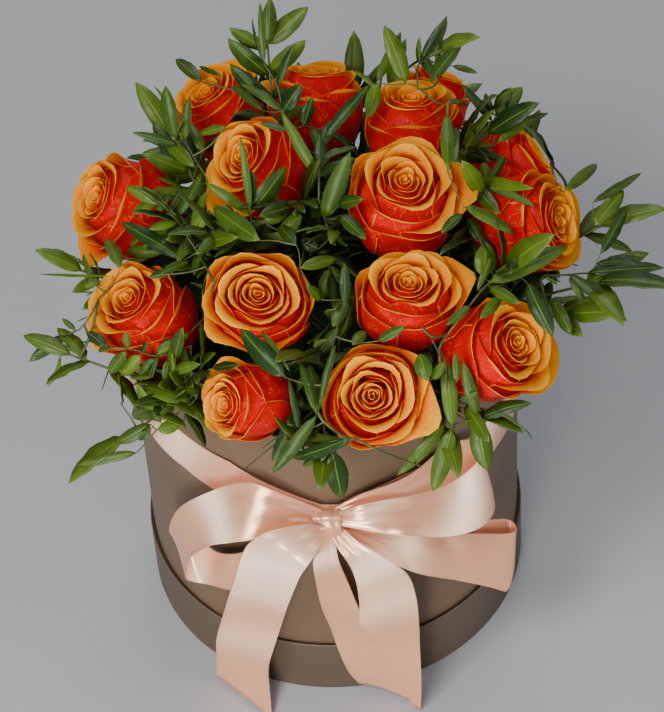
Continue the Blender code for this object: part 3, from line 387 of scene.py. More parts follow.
# A stem's last points below the bloom: how far below as a share of the hip's length, and how thick as a
# share of the stem
HIP_SHAPE = ((0.9, 1.1), (0.55, 1.75), (0.2, 1.95), (0.0, 1.8))

# What the random draws of the petals, the sepals and the leaves' colours start from
PETAL_SEED, SEPAL_SEED, COLOUR_SEED = 100, 200, 300

# The camera, as the photo was taken
CAMERA_PLACE = np.array((3.06, -888.0, 1121.1)) * MM
CAMERA_PITCH = 0.8366
CAMERA_ROLL = -0.0672
FOCAL_PIXELS = 2825.0
PICTURE_HEIGHT = 712


# Layout, the same as the solids'

def smooth_along(points, steps):
    """A Catmull-Rom curve through the points, with a number of steps between each two."""
    points = np.asarray(points, float)
    ends = np.vstack((2 * points[0] - points[1], points, 2 * points[-1] - points[-2]))
    curve = []
    for i in range(1, len(ends) - 2):
        before, start, stop, after = ends[i - 1:i + 3]
        for t in np.arange(steps) / steps:
            curve.append(0.5 * (2 * start + (stop - before) * t
                                + (2 * before - 5 * start + 4 * stop - after) * t ** 2
                                + (3 * start - before - 3 * stop + after) * t ** 3))
    curve.append(points[-1])
    return np.array(curve)


def unit(vector):
    return vector / np.linalg.norm(vector)


def norms(vectors):
    """The length of each vector."""
    return np.linalg.norm(vectors, axis=-1)


def profile_at(table, place):
    return np.interp(place, *zip(*table))


def rose_axis(lean, direction):
    lean, direction = math.radians(lean), math.radians(direction)
    return np.array((math.sin(lean) * math.sin(direction), -math.sin(lean) * math.cos(direction),
                     math.cos(lean)))


def rose_layout():
    """Every rose as its base, axis, side axes, radius, length and stem points."""
    layout = []
    for x, y, z, lean, direction, radius, length in ROSES:
        axis = rose_axis(lean, direction)
        side = unit(np.cross((0.0, 0.0, 1.0), axis))
        base = np.array((x, y, z)) * MM - axis * length * MM
        foot = np.array((base[0] * STEM_SPREAD, base[1] * STEM_SPREAD, FOAM_TOP))
        layout.append({
            "base": base, "axis": axis, "side": side, "across": np.cross(axis, side),
            "radius": radius * MM, "length": length * MM,
            "middle": base + axis * BLOOM_MIDDLE * length * MM,
            "stem": stem_points(foot, base - axis * GAP, axis),
        })
    return layout


def stem_points(foot, top, axis):
    """From the bottom of the hole straight up to the foam's top, then bending over to the bloom."""
    reach = np.linalg.norm(top - foot)
    up = np.array((0, 0, 0.6 * reach))
    pull = axis * 0.9 * reach
    points = [foot - (0, 0, HOLE_DEPTH - GAP), foot]
    for t in np.linspace(0, 1, STEM_POINTS)[1:]:
        points.append((2 * t ** 3 - 3 * t ** 2 + 1) * foot + (t ** 3 - 2 * t ** 2 + t) * up
                      + (3 * t ** 2 - 2 * t ** 3) * top + (t ** 3 - t ** 2) * pull)
    return np.vstack((points[:1], fewer_points(np.array(points[1:]), STEM_SLACK)))


def fewer_points(path, slack):
    """The path without the points that lie within the slack of a straight run."""
    along = unit(path[-1] - path[0])
    offset = path - path[0]
    aside = norms(offset - (offset @ along)[:, None] * along)
    if aside.max() <= slack:
        return path[[0, -1]]
    worst = aside.argmax()
    return np.vstack((fewer_points(path[:worst + 1], slack)[:-1], fewer_points(path[worst:], slack)))


def depth_in_bloom(rose, points, clear):
    """How deep each point lies inside the bloom's outline, and the way out."""
    offset = points - rose["base"]
    along = offset @ rose["axis"]
    aside = offset - along[:, None] * rose["axis"]
    distance = norms(aside)
    share = along / rose["length"]
    wide = rose["radius"] * np.interp(share, *BLOOM_OUTLINE)
    wide = np.where((share > -0.2) & (share < 1.12), wide + clear, 0)
    return wide - distance, aside / np.maximum(distance, 1e-6)[:, None]


def bend_clear(points, roses, posts, reach):
    """Moves a path's points out of the blooms, off the other stems and over the box's rim."""
    points = points.copy()
    for _ in range(BEND_ROUNDS):
        points[3:-1] = 0.8 * points[3:-1] + 0.1 * (points[2:-2] + points[4:])
        for rose in roses:
            depth, way = depth_in_bloom(rose, points, reach)
            push = np.where(depth > 0, depth, 0)[:, None] * way
            points[3:] += 0.6 * push[3:]
        for post in posts:
            gap = points[:, None] - post[None]
            distance = norms(gap)
            near = distance.argmin(axis=1)
            row = np.arange(len(points))
            lack = np.maximum(STEM_RADIUS + 2 * reach - distance[row, near], 0)
            way = gap[row, near] / np.maximum(distance[row, near], 1e-6)[:, None]
            points[3:] += (0.5 * lack[:, None] * way)[3:]
        out = np.hypot(points[:, 0], points[:, 1])
        over_rim = (out > BOX_INSIDE - RIM_ROOM) & (out < BOX_RADIUS + RIM_ROOM)
        points[over_rim, 2] = np.maximum(points[over_rim, 2], BOX_TOP + RIM_ROOM)
    return points


def lengths_along(points):
    """How far along a path each of its points lies."""
    return np.concatenate(([0], np.cumsum(norms(np.diff(points, axis=0)))))


def even_points(points, spacing):
    """The path with points at an even spacing."""
    along = lengths_along(points)
    count = max(3, int(round(along[-1] / spacing)) + 1)
    places = np.linspace(0, along[-1], count)
    return np.stack([np.interp(places, along, points[:, i]) for i in range(3)], axis=1)


def spray_layout(roses):
    """Every spray's twigs and leaves, each kept clear of the blooms, the stems and each other."""
    draw = np.random.default_rng(SEED)
    posts = [even_points(rose["stem"], 3 * MM) for rose in roses]
    sprays = []
    for foot, *fronds in SPRAYS:
        start = np.array((foot[0] * MM, foot[1] * MM, FOAM_TOP))
        twigs = []
        for fork, frond in enumerate(fronds):
            foot_point = start + np.array((0.4, 0.3, 2.0)) * MM * fork
            route = [foot_point, foot_point + (0, 0, 20 * MM)] + [np.array(p) * MM for p in frond[:-1]]
            path = even_points(smooth_along(route, 6), TWIG_STEP)
            path = path[:-int(round(frond[-1] * MM * TIP_SHARE / TWIG_STEP))]
            path = bend_clear(path, roses, posts, TWIG_RADIUS + TWIG_SLACK + 0.3 * MM)
            path = np.vstack((path[:1], fewer_points(path[1:], TWIG_SLACK)))
            twigs.append({"path": path, "leaf": frond[-1] * MM})
        posts += [even_points(twig["path"][1:], 3 * MM) for twig in twigs]
        sprays.append({"foot": start, "twigs": twigs, "leaves": []})
    grow_leaves(sprays, roses, draw)
    return sprays


def leaf_outline(leaf, rows):
    """Left, middle and right points of a leaf at shares of its length."""
    rows = np.asarray(rows)[:, None]
    half = leaf["length"] * LEAF_WIDTH / 2 * np.sin(math.pi * rows ** 0.85) ** 0.8
    middle = (leaf["root"] + leaf["way"] * leaf["length"] * (rows - 0.08 * rows ** 2)
              - leaf["up"] * leaf["length"] * leaf["droop"] * rows ** 2)
    lift = leaf["up"] * half * 0.25
    return middle - leaf["side"] * half + lift, middle, middle + leaf["side"] * half + lift


@functools.cache
def sheet_faces(rows, columns):
    """Faces of a closed sheet of two layers: the outer first, the inner, then the rim between them."""
    at = np.arange(rows * columns).reshape(rows, columns)
    a, b, c, d = at[:-1, :-1].ravel(), at[:-1, 1:].ravel(), at[1:, 1:].ravel(), at[1:, :-1].ravel()
    outer = np.stack((a, b, c, d), axis=1)
    inner = np.stack((a, d, c, b), axis=1) + rows * columns
    ring = np.concatenate((at[0, :-1], at[:-1, -1], at[-1, :0:-1], at[:0:-1, 0]))
    following = np.roll(ring, -1)
    rim = np.stack((following, ring, ring + rows * columns, following + rows * columns), axis=1)
    return np.concatenate((outer, inner, rim))


def leaf_shell(leaf):
    """A closed search tree round the leaf with some room on each side."""
    left, _, right = leaf_outline(leaf, (0.12, 0.35, 0.6, 0.82, 1.0))
    edges = np.stack((left - leaf["side"] * LEAF_ROOM, right + leaf["side"] * LEAF_ROOM), axis=1)
    points = np.vstack([edges.reshape(-1, 3) + leaf["up"] * LEAF_ROOM * side for side in (-1, 1)])
    return BVHTree.FromPolygons(points.tolist(), sheet_faces(*edges.shape[:2]).tolist())


def leaf_is_clear(leaf, roses, posts, placed):
    left, middle, right = leaf_outline(leaf, (0.15, 0.4, 0.65, 0.85, 1.0))
    points = np.vstack((left, middle, right))
    if any(depth_in_bloom(rose, points, LEAF_FROM_BLOOM)[0].max() > 0 for rose in roses):
        return False
    out = np.hypot(points[:, 0], points[:, 1])
    if ((out > BOX_INSIDE - 3 * MM) & (out < BOX_RADIUS + 5 * MM) & (points[:, 2] < BOX_TOP + 3 * MM)).any():
        return False
    if points[:, 2].min() < LINER_TOP + RIM_ROOM and out.min() < BOX_INSIDE:
        return False
    centre = middle[2]
    shell = None
    for post, radius in posts:
        near = post[norms(post - centre) < leaf["length"]]
        for point in near:
            shell = shell or leaf_shell(leaf)
            if shell.find_nearest(tuple(point), radius + LEAF_FROM_TWIG)[0] is not None:
                return False
    for other, other_shell, other_centre in placed:
        if other["spray"] == leaf["spray"]:
            continue
        if np.linalg.norm(other_centre - centre) < leaf["length"] + other["length"]:
            shell = shell or leaf_shell(leaf)
            if shell.overlap(other_shell):
                return False
    return True


def leaf_on(path, at, hand, size, draw, loose, forward, droop):
    """A leaf at a point of a twig, to one side of it or at its tip. Forward and droop are ranges."""
    last = len(path) - 1
    along = unit(path[min(at + 3, last)] - path[max(at - 3, 0)])
    flat = np.cross(along, (0.0, 0.0, 1.0))
    flat = unit(flat) if np.linalg.norm(flat) > 0.05 else np.array((1.0, 0.0, 0.0))
    turn = draw.uniform(-loose, loose)
    out = unit(flat * math.cos(turn) + np.cross(along, flat) * math.sin(turn)) * (hand or 0.15)
    way = unit(along * draw.uniform(*forward) + out)
    side = unit(np.cross(way, np.cross(along, flat) + 0.35 * draw.normal(size=3)))
    up = np.cross(side, way)
    if up[2] < 0:
        side, up = -side, -up
    return {"root": path[at], "way": way, "side": side, "up": up, "length": size,
            "droop": draw.uniform(*droop)}


def grow_leaves(sprays, roses, draw):
    """Leaves in pairs up each twig and one at its tip, turned until they are clear."""
    placed = []
    for number, spray in enumerate(sprays):
        posts = [(even_points(rose["stem"], 2 * MM), STEM_RADIUS) for rose in roses]
        posts += [(trunk, TWIG_RADIUS) for other, trunk in trunks_of(sprays) if other is not spray]
        for twig in spray["twigs"]:
            path = even_points(twig["path"], 1 * MM)
            last = len(path) - 1
            step = max(6, int(twig["leaf"] * LEAF_SPACING / MM))
            rows = range(int(last * LEAF_START), last - 5, step)
            spots = [(min(at, last), hand) for at, hand in paired(rows)] + [(last - 2, 0)]
            for at, hand in spots:
                size = twig["leaf"] * draw.uniform(0.85, 1.1) * (1.0 if hand else 1.05)
                for attempt in range(LEAF_TRIES):
                    leaf = leaf_on(path, at, hand, size * (1 - 0.02 * attempt), draw, 0.25 + 0.12 * attempt,
                                   (0.75, 1.15), (0.05, 0.25))
                    leaf["spray"] = number
                    if leaf_is_clear(leaf, roses, posts, placed):
                        placed.append((leaf, leaf_shell(leaf), leaf_outline(leaf, (0.6,))[1][0]))
                        spray["leaves"].append(leaf)
                        break


def trunks_of(sprays):
    """Each spray with each of its twigs, as even points."""
    return [(spray, even_points(twig["path"], 2 * MM)) for spray in sprays for twig in spray["twigs"]]


def paired(rows):
    """Places for a leaf on each side of a twig, at the rows and a little beyond."""
    return [(at + beyond, hand) for at in rows for beyond, hand in ((0, -1), (2, 1))]


def grow_pairs(spray, path, places, size, roses, taken, draw):
    """Leaves at the given places of a twig where they stand clear of the blooms and each other."""
    for at, hand in places:
        length = size * draw.uniform(0.75, 1.15)
        for attempt in range(FILL_TRIES):
            leaf = leaf_on(path, at, hand, length * (1 - 0.07 * attempt), draw, 0.4 + 0.25 * attempt,
                           (0.65, 1.2), (0.02, 0.3))
            leaf["slim"] = draw.choice((0.6, 0.85, 1.0, 1.1))
            centre = leaf_outline(leaf, (LEAF_MIDDLE,))[1][0]
            if norms(np.array(taken) - centre).min() < LEAF_APART:
                continue
            if np.linalg.norm((leaf["root"] + leaf["way"] * leaf["length"])[:2]) > FILL_EDGE:
                continue
            if leaf_is_clear(leaf, roses, (), ()):
                taken.append(centre)
                spray["leaves"].append(leaf)
                break


def posed_leaf(row, draw):
    """A leaf with its root and its tip where the photo shows them."""
    root, tip = np.reshape(row[:6], (2, 3)) * MM
    wide, bend = (*row[6:], 0)[:2]
    span = tip - root
    toward = unit(unit(CAMERA_PLACE - root) + (0, 0, 0.4) + 0.3 * draw.normal(size=3))
    side = unit(np.cross(span, toward))
    up = unit(np.cross(side, span))
    fall = side * bend - up * POSED_DROOP
    long = np.linalg.norm(span) / math.hypot(0.92, np.linalg.norm(fall))
    return {"root": root, "way": unit(span / long - fall), "side": side, "up": up, "length": long,
            "fall": fall, "slim": wide * MM / long / LEAF_WIDTH, "middle": (root + tip) / 2}


def joined(point, trunks, roses):
    """The spray whose twig is nearest to a point, and a path from that twig to the point."""
    near = [norms(trunk - point) + 0.4 * np.maximum(trunk[:, 2] - point[2], 0) for _, trunk in trunks]
    best = int(np.argmin([distance.min() for distance in near]))
    owner, trunk = trunks[best]
    start = trunk[near[best].argmin()]
    middle = (start + point) / 2 - np.array((0, 0, 0.15)) * np.linalg.norm(start - point)
    short = even_points(smooth_along((start, middle, point), 5), 2 * MM)
    path = bend_clear(short, roses, (), SPRIG_RADIUS)
    path[-1] = point
    if lengths_along(path)[-1] > LONGEST_BEND * np.linalg.norm(start - point):
        path = short
    for _ in range(4):
        path[1:-1] = (path[:-2] + path[1:-1] + path[2:]) / 3
    return owner, path


def pose_greenery(sprays, roses, draw):
    """The twigs and leaves that the photo shows, each joined to the nearest twig."""
    trunks = trunks_of(sprays)
    for points in POSED_TWIGS:
        path = smooth_along(np.array(points) * MM, 6)
        owner, join = joined(path[0], trunks, roses)
        path = even_points(np.vstack((join[:-1], path)), 1 * MM)
        owner["sprigs"].append(path)
        trunks.append((owner, path))
    middles = []
    for row in POSED_LEAVES:
        leaf = posed_leaf(row, draw)
        owner, join = joined(leaf["root"], trunks, roses)
        if np.linalg.norm(join[0] - join[-1]) > MM:
            join = even_points(join, 1 * MM)
            owner["sprigs"].append(join)
            trunks.append((owner, join))
        owner["leaves"].append(leaf)
        middles.append(leaf["middle"])
    return middles


def grow_fill(sprays, roses, taken, draw):
    """More pairs of leaves on the main twigs, and side twigs that fill the gaps between the blooms."""
    for spray in sprays:
        for twig in spray["twigs"]:
            path = even_points(twig["path"], 1 * MM)
            rows = range(int(PAIR_START * len(path)), len(path) - 4, int(PAIR_SPACING / MM))
            grow_pairs(spray, path, paired(rows), twig["leaf"], roses, taken, draw)

    angle = draw.uniform(0, 2 * math.pi, FILL_PLACES)
    out = FILL_REACH * np.sqrt(draw.uniform(0.02, 1, FILL_PLACES))
    dome = 1 - (out / FILL_REACH) ** 2
    height = FILL_LOW + (FILL_HIGH - FILL_LOW) * (0.25 + 0.75 * dome) * draw.uniform(0.25, 1, FILL_PLACES)
    places = np.column_stack((out * np.cos(angle), out * np.sin(angle), height))
    for rose in roses:
        places = places[depth_in_bloom(rose, places, 3 * MM)[0] < 0]
    trunks = trunks_of(sprays)
    reached = np.zeros((1, 3))
    for place in places:
        if norms(reached - place).min() < FILL_APART:
            continue
        best, spray, start = SPRIG_LONG, None, None
        for owner, trunk in trunks:
            gap = place - trunk
            distance = norms(gap)
            distance[gap[:, 2] < 0.2 * distance] = SPRIG_LONG
            if distance.min() < best:
                best, spray, start = distance.min(), owner, trunk[distance.argmin()]
        if spray is None or best < SPRIG_SHORT:
            continue
        reached = np.vstack((reached, place))
        middle = (start + place) / 2 + np.array((0, 0, 0.12 * best)) + draw.normal(size=3) * 0.06 * best
        path = even_points(smooth_along((start, middle, place), 5), 3 * MM)
        path = even_points(bend_clear(path, roses, (), SPRIG_RADIUS + 1 * MM), 1 * MM)
        spray["sprigs"].append(path)
        rows = range(int(SPRIG_START * len(path)), len(path) - 3, int(SPRIG_SPACING / MM))
        spots = [(len(path) - 1, 0)] + [(min(at, len(path) - 2), hand) for at, hand in paired(rows)]
        grow_pairs(spray, path, spots, SPRIG_LEAF, roses, taken, draw)


@functools.cache
def layout():
    """The roses and the sprays, with more leaves and side twigs than the solids have."""
    roses = rose_layout()
    for rose, (towards, rose["open"]) in zip(roses, OPEN_PETALS):
        way = PHOTO_RIGHT * math.cos(math.radians(towards)) + PHOTO_UP * math.sin(math.radians(towards))
        rose["turn"] = math.degrees(math.atan2(way @ rose["across"], way @ rose["side"]))
    sprays = spray_layout(roses)
    taken = [leaf_outline(leaf, (LEAF_MIDDLE,))[1][0] for spray in sprays for leaf in spray["leaves"]]
    for spray in sprays:
        spray["sprigs"] = []
    draw = np.random.default_rng(FILL_SEED)
    taken += pose_greenery(sprays, roses, draw)
    grow_fill(sprays, roses, taken, draw)
    return roses, sprays


# Settings shown in the sidebar

def colour(name, description, default):
    return bpy.props.FloatVectorProperty(name=name, description=description, subtype="COLOR", size=3,
                                         min=0, max=1, default=default)


def share(name, description, default, most=1.0):
    return bpy.props.FloatProperty(name=name, description=description, default=default, min=0, max=most)


def length(name, description, default):
    return bpy.props.FloatProperty(name=name, description=description, default=default, min=0,
                                   subtype="DISTANCE", unit="LENGTH", precision=5)


class HolderSettings(bpy.types.PropertyGroup):
    """Colours and edges of the box, its lid, the liner and the foam"""
    card: colour("Box card", "Paper on the box", (0.14, 0.088, 0.052))
    lid: colour("Lid card", "Paper on the upturned lid", (0.092, 0.063, 0.041))
    edge: length("Rounded edge", "Radius of the card's folded edges", 0.6 * MM)
    film: colour("Liner film", "Waterproof film in the box", (0.55, 0.6, 0.55))
    foam: colour("Foam", "Wet floral foam", (0.02, 0.07, 0.025))


class RibbonSettings(bpy.types.PropertyGroup):
    """The satin ribbon's colour and shape"""
    satin: colour("Satin", "Colour of the ribbon", (0.95, 0.47, 0.27))
    wave: length("Wave", "Height of the slow waves along the ribbon", 1.5 * MM)
    crown: length("Crown", "How far the ribbon's middle stands above its edges", 0.9 * MM)
    pleats: length("Pleats", "Depth of the folds gathered at the knot", 1.5 * MM)
    bead: length("Edge bead", "Thickness of the woven edge", 0.75 * MM)
    cloth: length("Cloth", "Thickness of the satin", 0.4 * MM)


class RoseSettings(bpy.types.PropertyGroup):
    """The roses' petals"""
    petals: bpy.props.IntProperty(name="Petals", description="Petals in each rose", default=25, min=6, max=60)
    thickness: length("Petal", "Thickness of a petal", 0.45 * MM)
    face: colour("Petal face", "Inner face of a petal near its rim", (0.78, 0.32, 0.0))
    deep: colour("Petal base", "Inner face of a petal near its root", (0.85, 0.03, 0.0))
    back: colour("Petal back", "Outer face of a petal", (0.54, 0.002, 0.002))
    # The rim colour is a painted highlight along each petal's thin edge
    rim: colour("Petal rim", "Thin edge of a petal", (0.95, 0.42, 0.02))


class GreenSettings(bpy.types.PropertyGroup):
    """Leaves, twigs, stems and sepals"""
    young: colour("Young leaf", "Yellow-green of a young leaf", (0.12, 0.205, 0.013))
    old: colour("Old leaf", "Dark green of an old leaf", (0.006, 0.034, 0.004))
    under: colour("Leaf underside", "Paler underside of a leaf", (0.075, 0.13, 0.035))
    stem: colour("Stem", "Rose stems and sepals", (0.1, 0.2, 0.035))
    twig: colour("Twig", "Woody twigs", (0.085, 0.11, 0.03))
    blade: length("Leaf blade", "Thickness of a leaf", 0.35 * MM)
    fold: share("Leaf fold", "How far a leaf's edges stand up from its middle", 0.25)


class StageSettings(bpy.types.PropertyGroup):
    """Floor and light"""
    floor: colour("Floor", "Plain pale floor", (0.44, 0.455, 0.48))
    key: bpy.props.FloatProperty(name="Key light", description="Power of the main light in watts",
                                 default=12.0, min=0)
    sky: share("Surround", "Strength of the even light all round", 0.2, 5.0)


# Building node trees

class Flow:
    """A node's output, which takes part in sums, differences and products of outputs and numbers."""

    def __init__(self, nodes, socket):
        self.nodes, self.socket = nodes, socket

    def __add__(self, other):
        return self.nodes.math("ADD", self, other)

    def __sub__(self, other):
        return self.nodes.math("SUBTRACT", self, other)

    def __rsub__(self, other):
        return self.nodes.math("SUBTRACT", other, self)

    def __mul__(self, other):
        return self.nodes.math("MULTIPLY", self, other)

    def __abs__(self):
        return self.nodes.math("ABSOLUTE", self)


class Nodes:
    """Adds nodes to a tree and feeds their sockets with values or other nodes' outputs."""

    def __init__(self, tree):
        self.tree = tree

    def feed(self, socket, value):
        if isinstance(value, Flow):
            self.tree.links.new(value.socket, socket)
        else:
            socket.default_value = (*value, 1) if socket.type == "RGBA" else value

    def add(self, kind, inputs=(), **settings):
        """A new node with its settings. Its inputs are given by name or number."""
        node = self.tree.nodes.new(kind)
        for name, value in settings.items():
            setattr(node, name, value)
        for name, value in dict(inputs).items():
            self.feed(node.inputs[name], value)
        return node

    def out(self, kind, inputs=(), at=0, **settings):
        """One output of a new node."""
        return Flow(self, self.add(kind, inputs, **settings).outputs[at])

    def math(self, operation, *values, clamp=False):
        return self.out("ShaderNodeMath", enumerate(values), operation=operation, use_clamp=clamp)

    def split(self, vector):
        return [Flow(self, part) for part in self.add("ShaderNodeSeparateXYZ", {0: vector}).outputs]

    def combined(self, *parts):
        return self.out("ShaderNodeCombineXYZ", enumerate(parts))

    def mix(self, factor, first, second):
        """Colours mixed by a factor."""
        return self.out("ShaderNodeMix", {0: factor, 6: first, 7: second}, 2, data_type="RGBA")

    def step(self, value, low, high):
        """0 below low, 1 above high, smooth between them."""
        return self.out("ShaderNodeMapRange", {0: value, 1: low, 2: high}, interpolation_type="SMOOTHSTEP")

    def ramp(self, factor, *stops):
        """The stops' colours along a factor. Each stop is a place and a colour."""
        node = self.add("ShaderNodeValToRGB", {0: factor})
        elements = node.color_ramp.elements
        for place, _ in stops[2:]:
            elements.new(place)
        for element, (place, tint) in zip(elements, stops):
            element.position = place
            element.color = (*tint, 1)
        return Flow(self, node.outputs[0])

    def noise(self, vector, scale, detail=3.0, roughness=0.5):
        """Noise of one scale, or with a scale each way for a flat place."""
        if isinstance(scale, tuple):
            vector = self.out("ShaderNodeVectorMath", {0: vector, 1: (*scale, 1)}, operation="MULTIPLY")
            scale = 1
        return self.out("ShaderNodeTexNoise", {"Vector": vector, "Scale": scale, "Detail": detail,
                                               "Roughness": roughness})

    def attribute(self, name, part="Fac"):
        return self.out("ShaderNodeAttribute", at=part, attribute_name=name)

    def place(self):
        return self.out("ShaderNodeTexCoord", at="Object")

    def bump(self, height, strength, distance):
        return self.out("ShaderNodeBump", {"Height": height, "Strength": strength, "Distance": distance})

    def group(self, tree, *values):
        """The outputs of a node group that is fed with values in the order of its inputs."""
        node = self.add("ShaderNodeGroup", enumerate(values), node_tree=tree)
        return [Flow(self, part) for part in node.outputs]

    def ends(self, kind, **values):
        """The finished tree of a group, with an output for each value."""
        for name in values:
            self.tree.interface.new_socket(name=name, in_out="OUTPUT", socket_type="NodeSocket" + kind)
        self.add("NodeGroupOutput", values)
        return self.tree

    def dressed(self, shape, finish):
        """The finished tree of a geometry group: a smooth, real shape with its finish."""
        smooth = self.out("GeometryNodeSetShadeSmooth", {"Geometry": shape})
        real = self.out("GeometryNodeRealizeInstances", {0: smooth})
        finished_shape = self.out("GeometryNodeSetMaterial", {"Geometry": real, "Material": finish})
        return self.ends("Geometry", Geometry=finished_shape)


def new_group(name, kind, *inputs):
    """A group's Nodes and its inputs, each given by a name, a kind of socket and a usual value."""
    nodes = Nodes(bpy.data.node_groups.new(name, kind))
    for title, socket_kind, value in inputs:
        socket = nodes.tree.interface.new_socket(name=title, in_out="INPUT",
                                                 socket_type="NodeSocket" + socket_kind)
        if value is not None:
            socket.default_value = value
    given = nodes.add("NodeGroupInput").outputs
    return nodes, [Flow(nodes, given[title]) for title, _, _ in inputs]


@functools.cache
def vein_group():
    """Veins of a leaf: a middle line and finer lines that branch from it."""
    nodes, (blade, pairs, slant, width) = new_group(
        "blade_veins", "ShaderNodeTree", ("Blade", "Vector", None), ("Pairs", "Float", 8.0),
        ("Slant", "Float", 1.6), ("Middle width", "Float", 0.05))
    across, along, _ = nodes.split(blade)
    aside = abs(across - 0.5)
    waves = nodes.math("SINE", (along - aside * slant) * pairs * (2 * math.pi))
    return nodes.ends("Float", Middle=1 - nodes.step(aside, 0, width), Branches=nodes.step(waves, 0.75, 1))


@functools.cache
def grain_group():
    """Fine mottling of card, foam, twigs and floor: a broad cloud and a fine grain."""
    nodes, (place, cloud, grain) = new_group(
        "fine_grain", "ShaderNodeTree", ("Vector", "Vector", None), ("Cloud size", "Float", 20.0),
        ("Grain size", "Float", 900.0))
    return nodes.ends("Float", Cloud=nodes.noise(place, cloud, 4), Grain=nodes.noise(place, grain, 2, 0.7))


def tinted(rgb, gain):
    return tuple(min(1.0, part * gain) for part in rgb)


class Finish(Nodes):
    """A material's nodes. Its shader's sockets are named with _ for a space."""

    def __init__(self, name, **values):
        self.made = bpy.data.materials.new(name)
        self.made.use_nodes = True
        super().__init__(self.made.node_tree)
        self.shade(**values)

    def shade(self, **values):
        shader = self.tree.nodes["Principled BSDF"]
        for name, value in values.items():
            self.feed(shader.inputs[name.replace("_", " ")], value)
        return self.made

    def mottled(self, base, dark, pale, cloud_size, grain_size):
        """A colour that clouds darken and make paler, with the cloud and the grain."""
        cloud, grain = self.group(grain_group(), self.place(), cloud_size, grain_size)
        return self.ramp(cloud, (0.3, tinted(base, dark)), (0.7, tinted(base, pale))), cloud, grain


# Finishes

def card_finish(name, base, seam):
    """Smooth paper laid on card, a little worn at the folded edges, with its overlap at the back."""
    nodes = Finish(name, Specular_IOR_Level=0.42)
    tone, cloud, grain = nodes.mottled(base, 0.9, 1.1, 14, 1400)
    x, y, z = nodes.split(nodes.place())
    tone = nodes.mix(nodes.step(grain, 0.5, 0.75) * 0.22, tone, tinted(base, 1.35))
    tone = nodes.mix(nodes.step(z, seam - 1.2 * MM, seam) * 0.5, tone, tinted(base, 1.7))
    overlap = (1 - nodes.step(abs(x), 0, 0.5 * MM)) * nodes.math("GREATER_THAN", y, 0)
    tone = nodes.mix(overlap * 0.6, tone, tinted(base, 0.45))
    relief = cloud * 0.5 + grain * 0.18 - overlap
    return nodes.shade(Base_Color=tone, Roughness=cloud * 0.18 + 0.4,
                       Normal=nodes.bump(relief, 0.35, 0.3 * MM))


def foam_finish(base):
    """Wet floral foam: dark green, with fine open pores."""
    nodes = Finish("wet_foam", Roughness=0.85, Specular_IOR_Level=0.35)
    tone, _, grain = nodes.mottled(base, 0.7, 1.5, 40, 1100)
    cells = nodes.out("ShaderNodeTexVoronoi", {"Vector": nodes.place(), "Scale": 700})
    # Painted shade: each pore is painted darker, as a hole in shade
    tone = nodes.mix(nodes.step(cells, 0.5, 0.1), tone, tinted(base, 0.4))
    return nodes.shade(Base_Color=tone, Normal=nodes.bump(cells + grain, 0.8, 0.6 * MM))


def film_finish(base):
    """Thin waterproof film with a few soft creases."""
    nodes = Finish("liner_film", Roughness=0.22, Specular_IOR_Level=0.5)
    tone, cloud, _ = nodes.mottled(base, 0.6, 1, 60, 300)
    return nodes.shade(Base_Color=tone, Normal=nodes.bump(cloud, 0.6, 2 * MM))


def satin_finish(base):
    """Satin: shining threads along the ribbon, a duller woven edge with its stitches, and painted highlights.
    """
    nodes = Finish("satin", Metallic=0.4, Specular_IOR_Level=1, Anisotropic=0.85, Sheen_Weight=0.05,
                   Sheen_Roughness=0.35, Sheen_Tint=(1, 0.86, 0.74), Emission_Strength=0.8)
    cloth = nodes.out("ShaderNodeUVMap", uv_map="satin")
    across, along, _ = nodes.split(cloth)
    threads = nodes.noise(cloth, (5200, 60), 2)
    weft = nodes.noise(cloth, (40, 420), 2)
    edge = nodes.step(abs(across), *WOVEN_EDGE)
    stitches = nodes.step(nodes.math("SINE", along * (2 * math.pi / STITCH)), -0.2, 0.6) * edge
    tone = nodes.mix(nodes.step(threads, 0.3, 0.8), tinted(base, 0.9), tinted(base, 1.08))
    tone = nodes.mix(nodes.step(weft, 0.4, 0.75) * 0.08, tone, tinted(base, 1.1))
    tone = nodes.mix(edge * 0.45, tone, tinted(base, 0.78))
    # Painted highlight: where the ribbon's highlight mask is high, the satin is painted paler and glows a
    # little through the emission
    shine = nodes.attribute("shine")
    relief = threads * 0.25 + (weft * 0.06 + stitches * 0.5)
    return nodes.shade(
        Base_Color=nodes.mix(shine * 0.8, tone, PAINTED_HIGHLIGHT_COLOUR),
        Emission_Color=nodes.mix(shine, (0, 0, 0), PAINTED_GLOW_COLOUR),
        Tangent=nodes.out("ShaderNodeTangent", direction_type="UV_MAP", uv_map="satin"),
        Roughness=edge * 0.22 + (weft * 0.05 + 0.26), Normal=nodes.bump(relief, 0.2, 0.2 * MM))


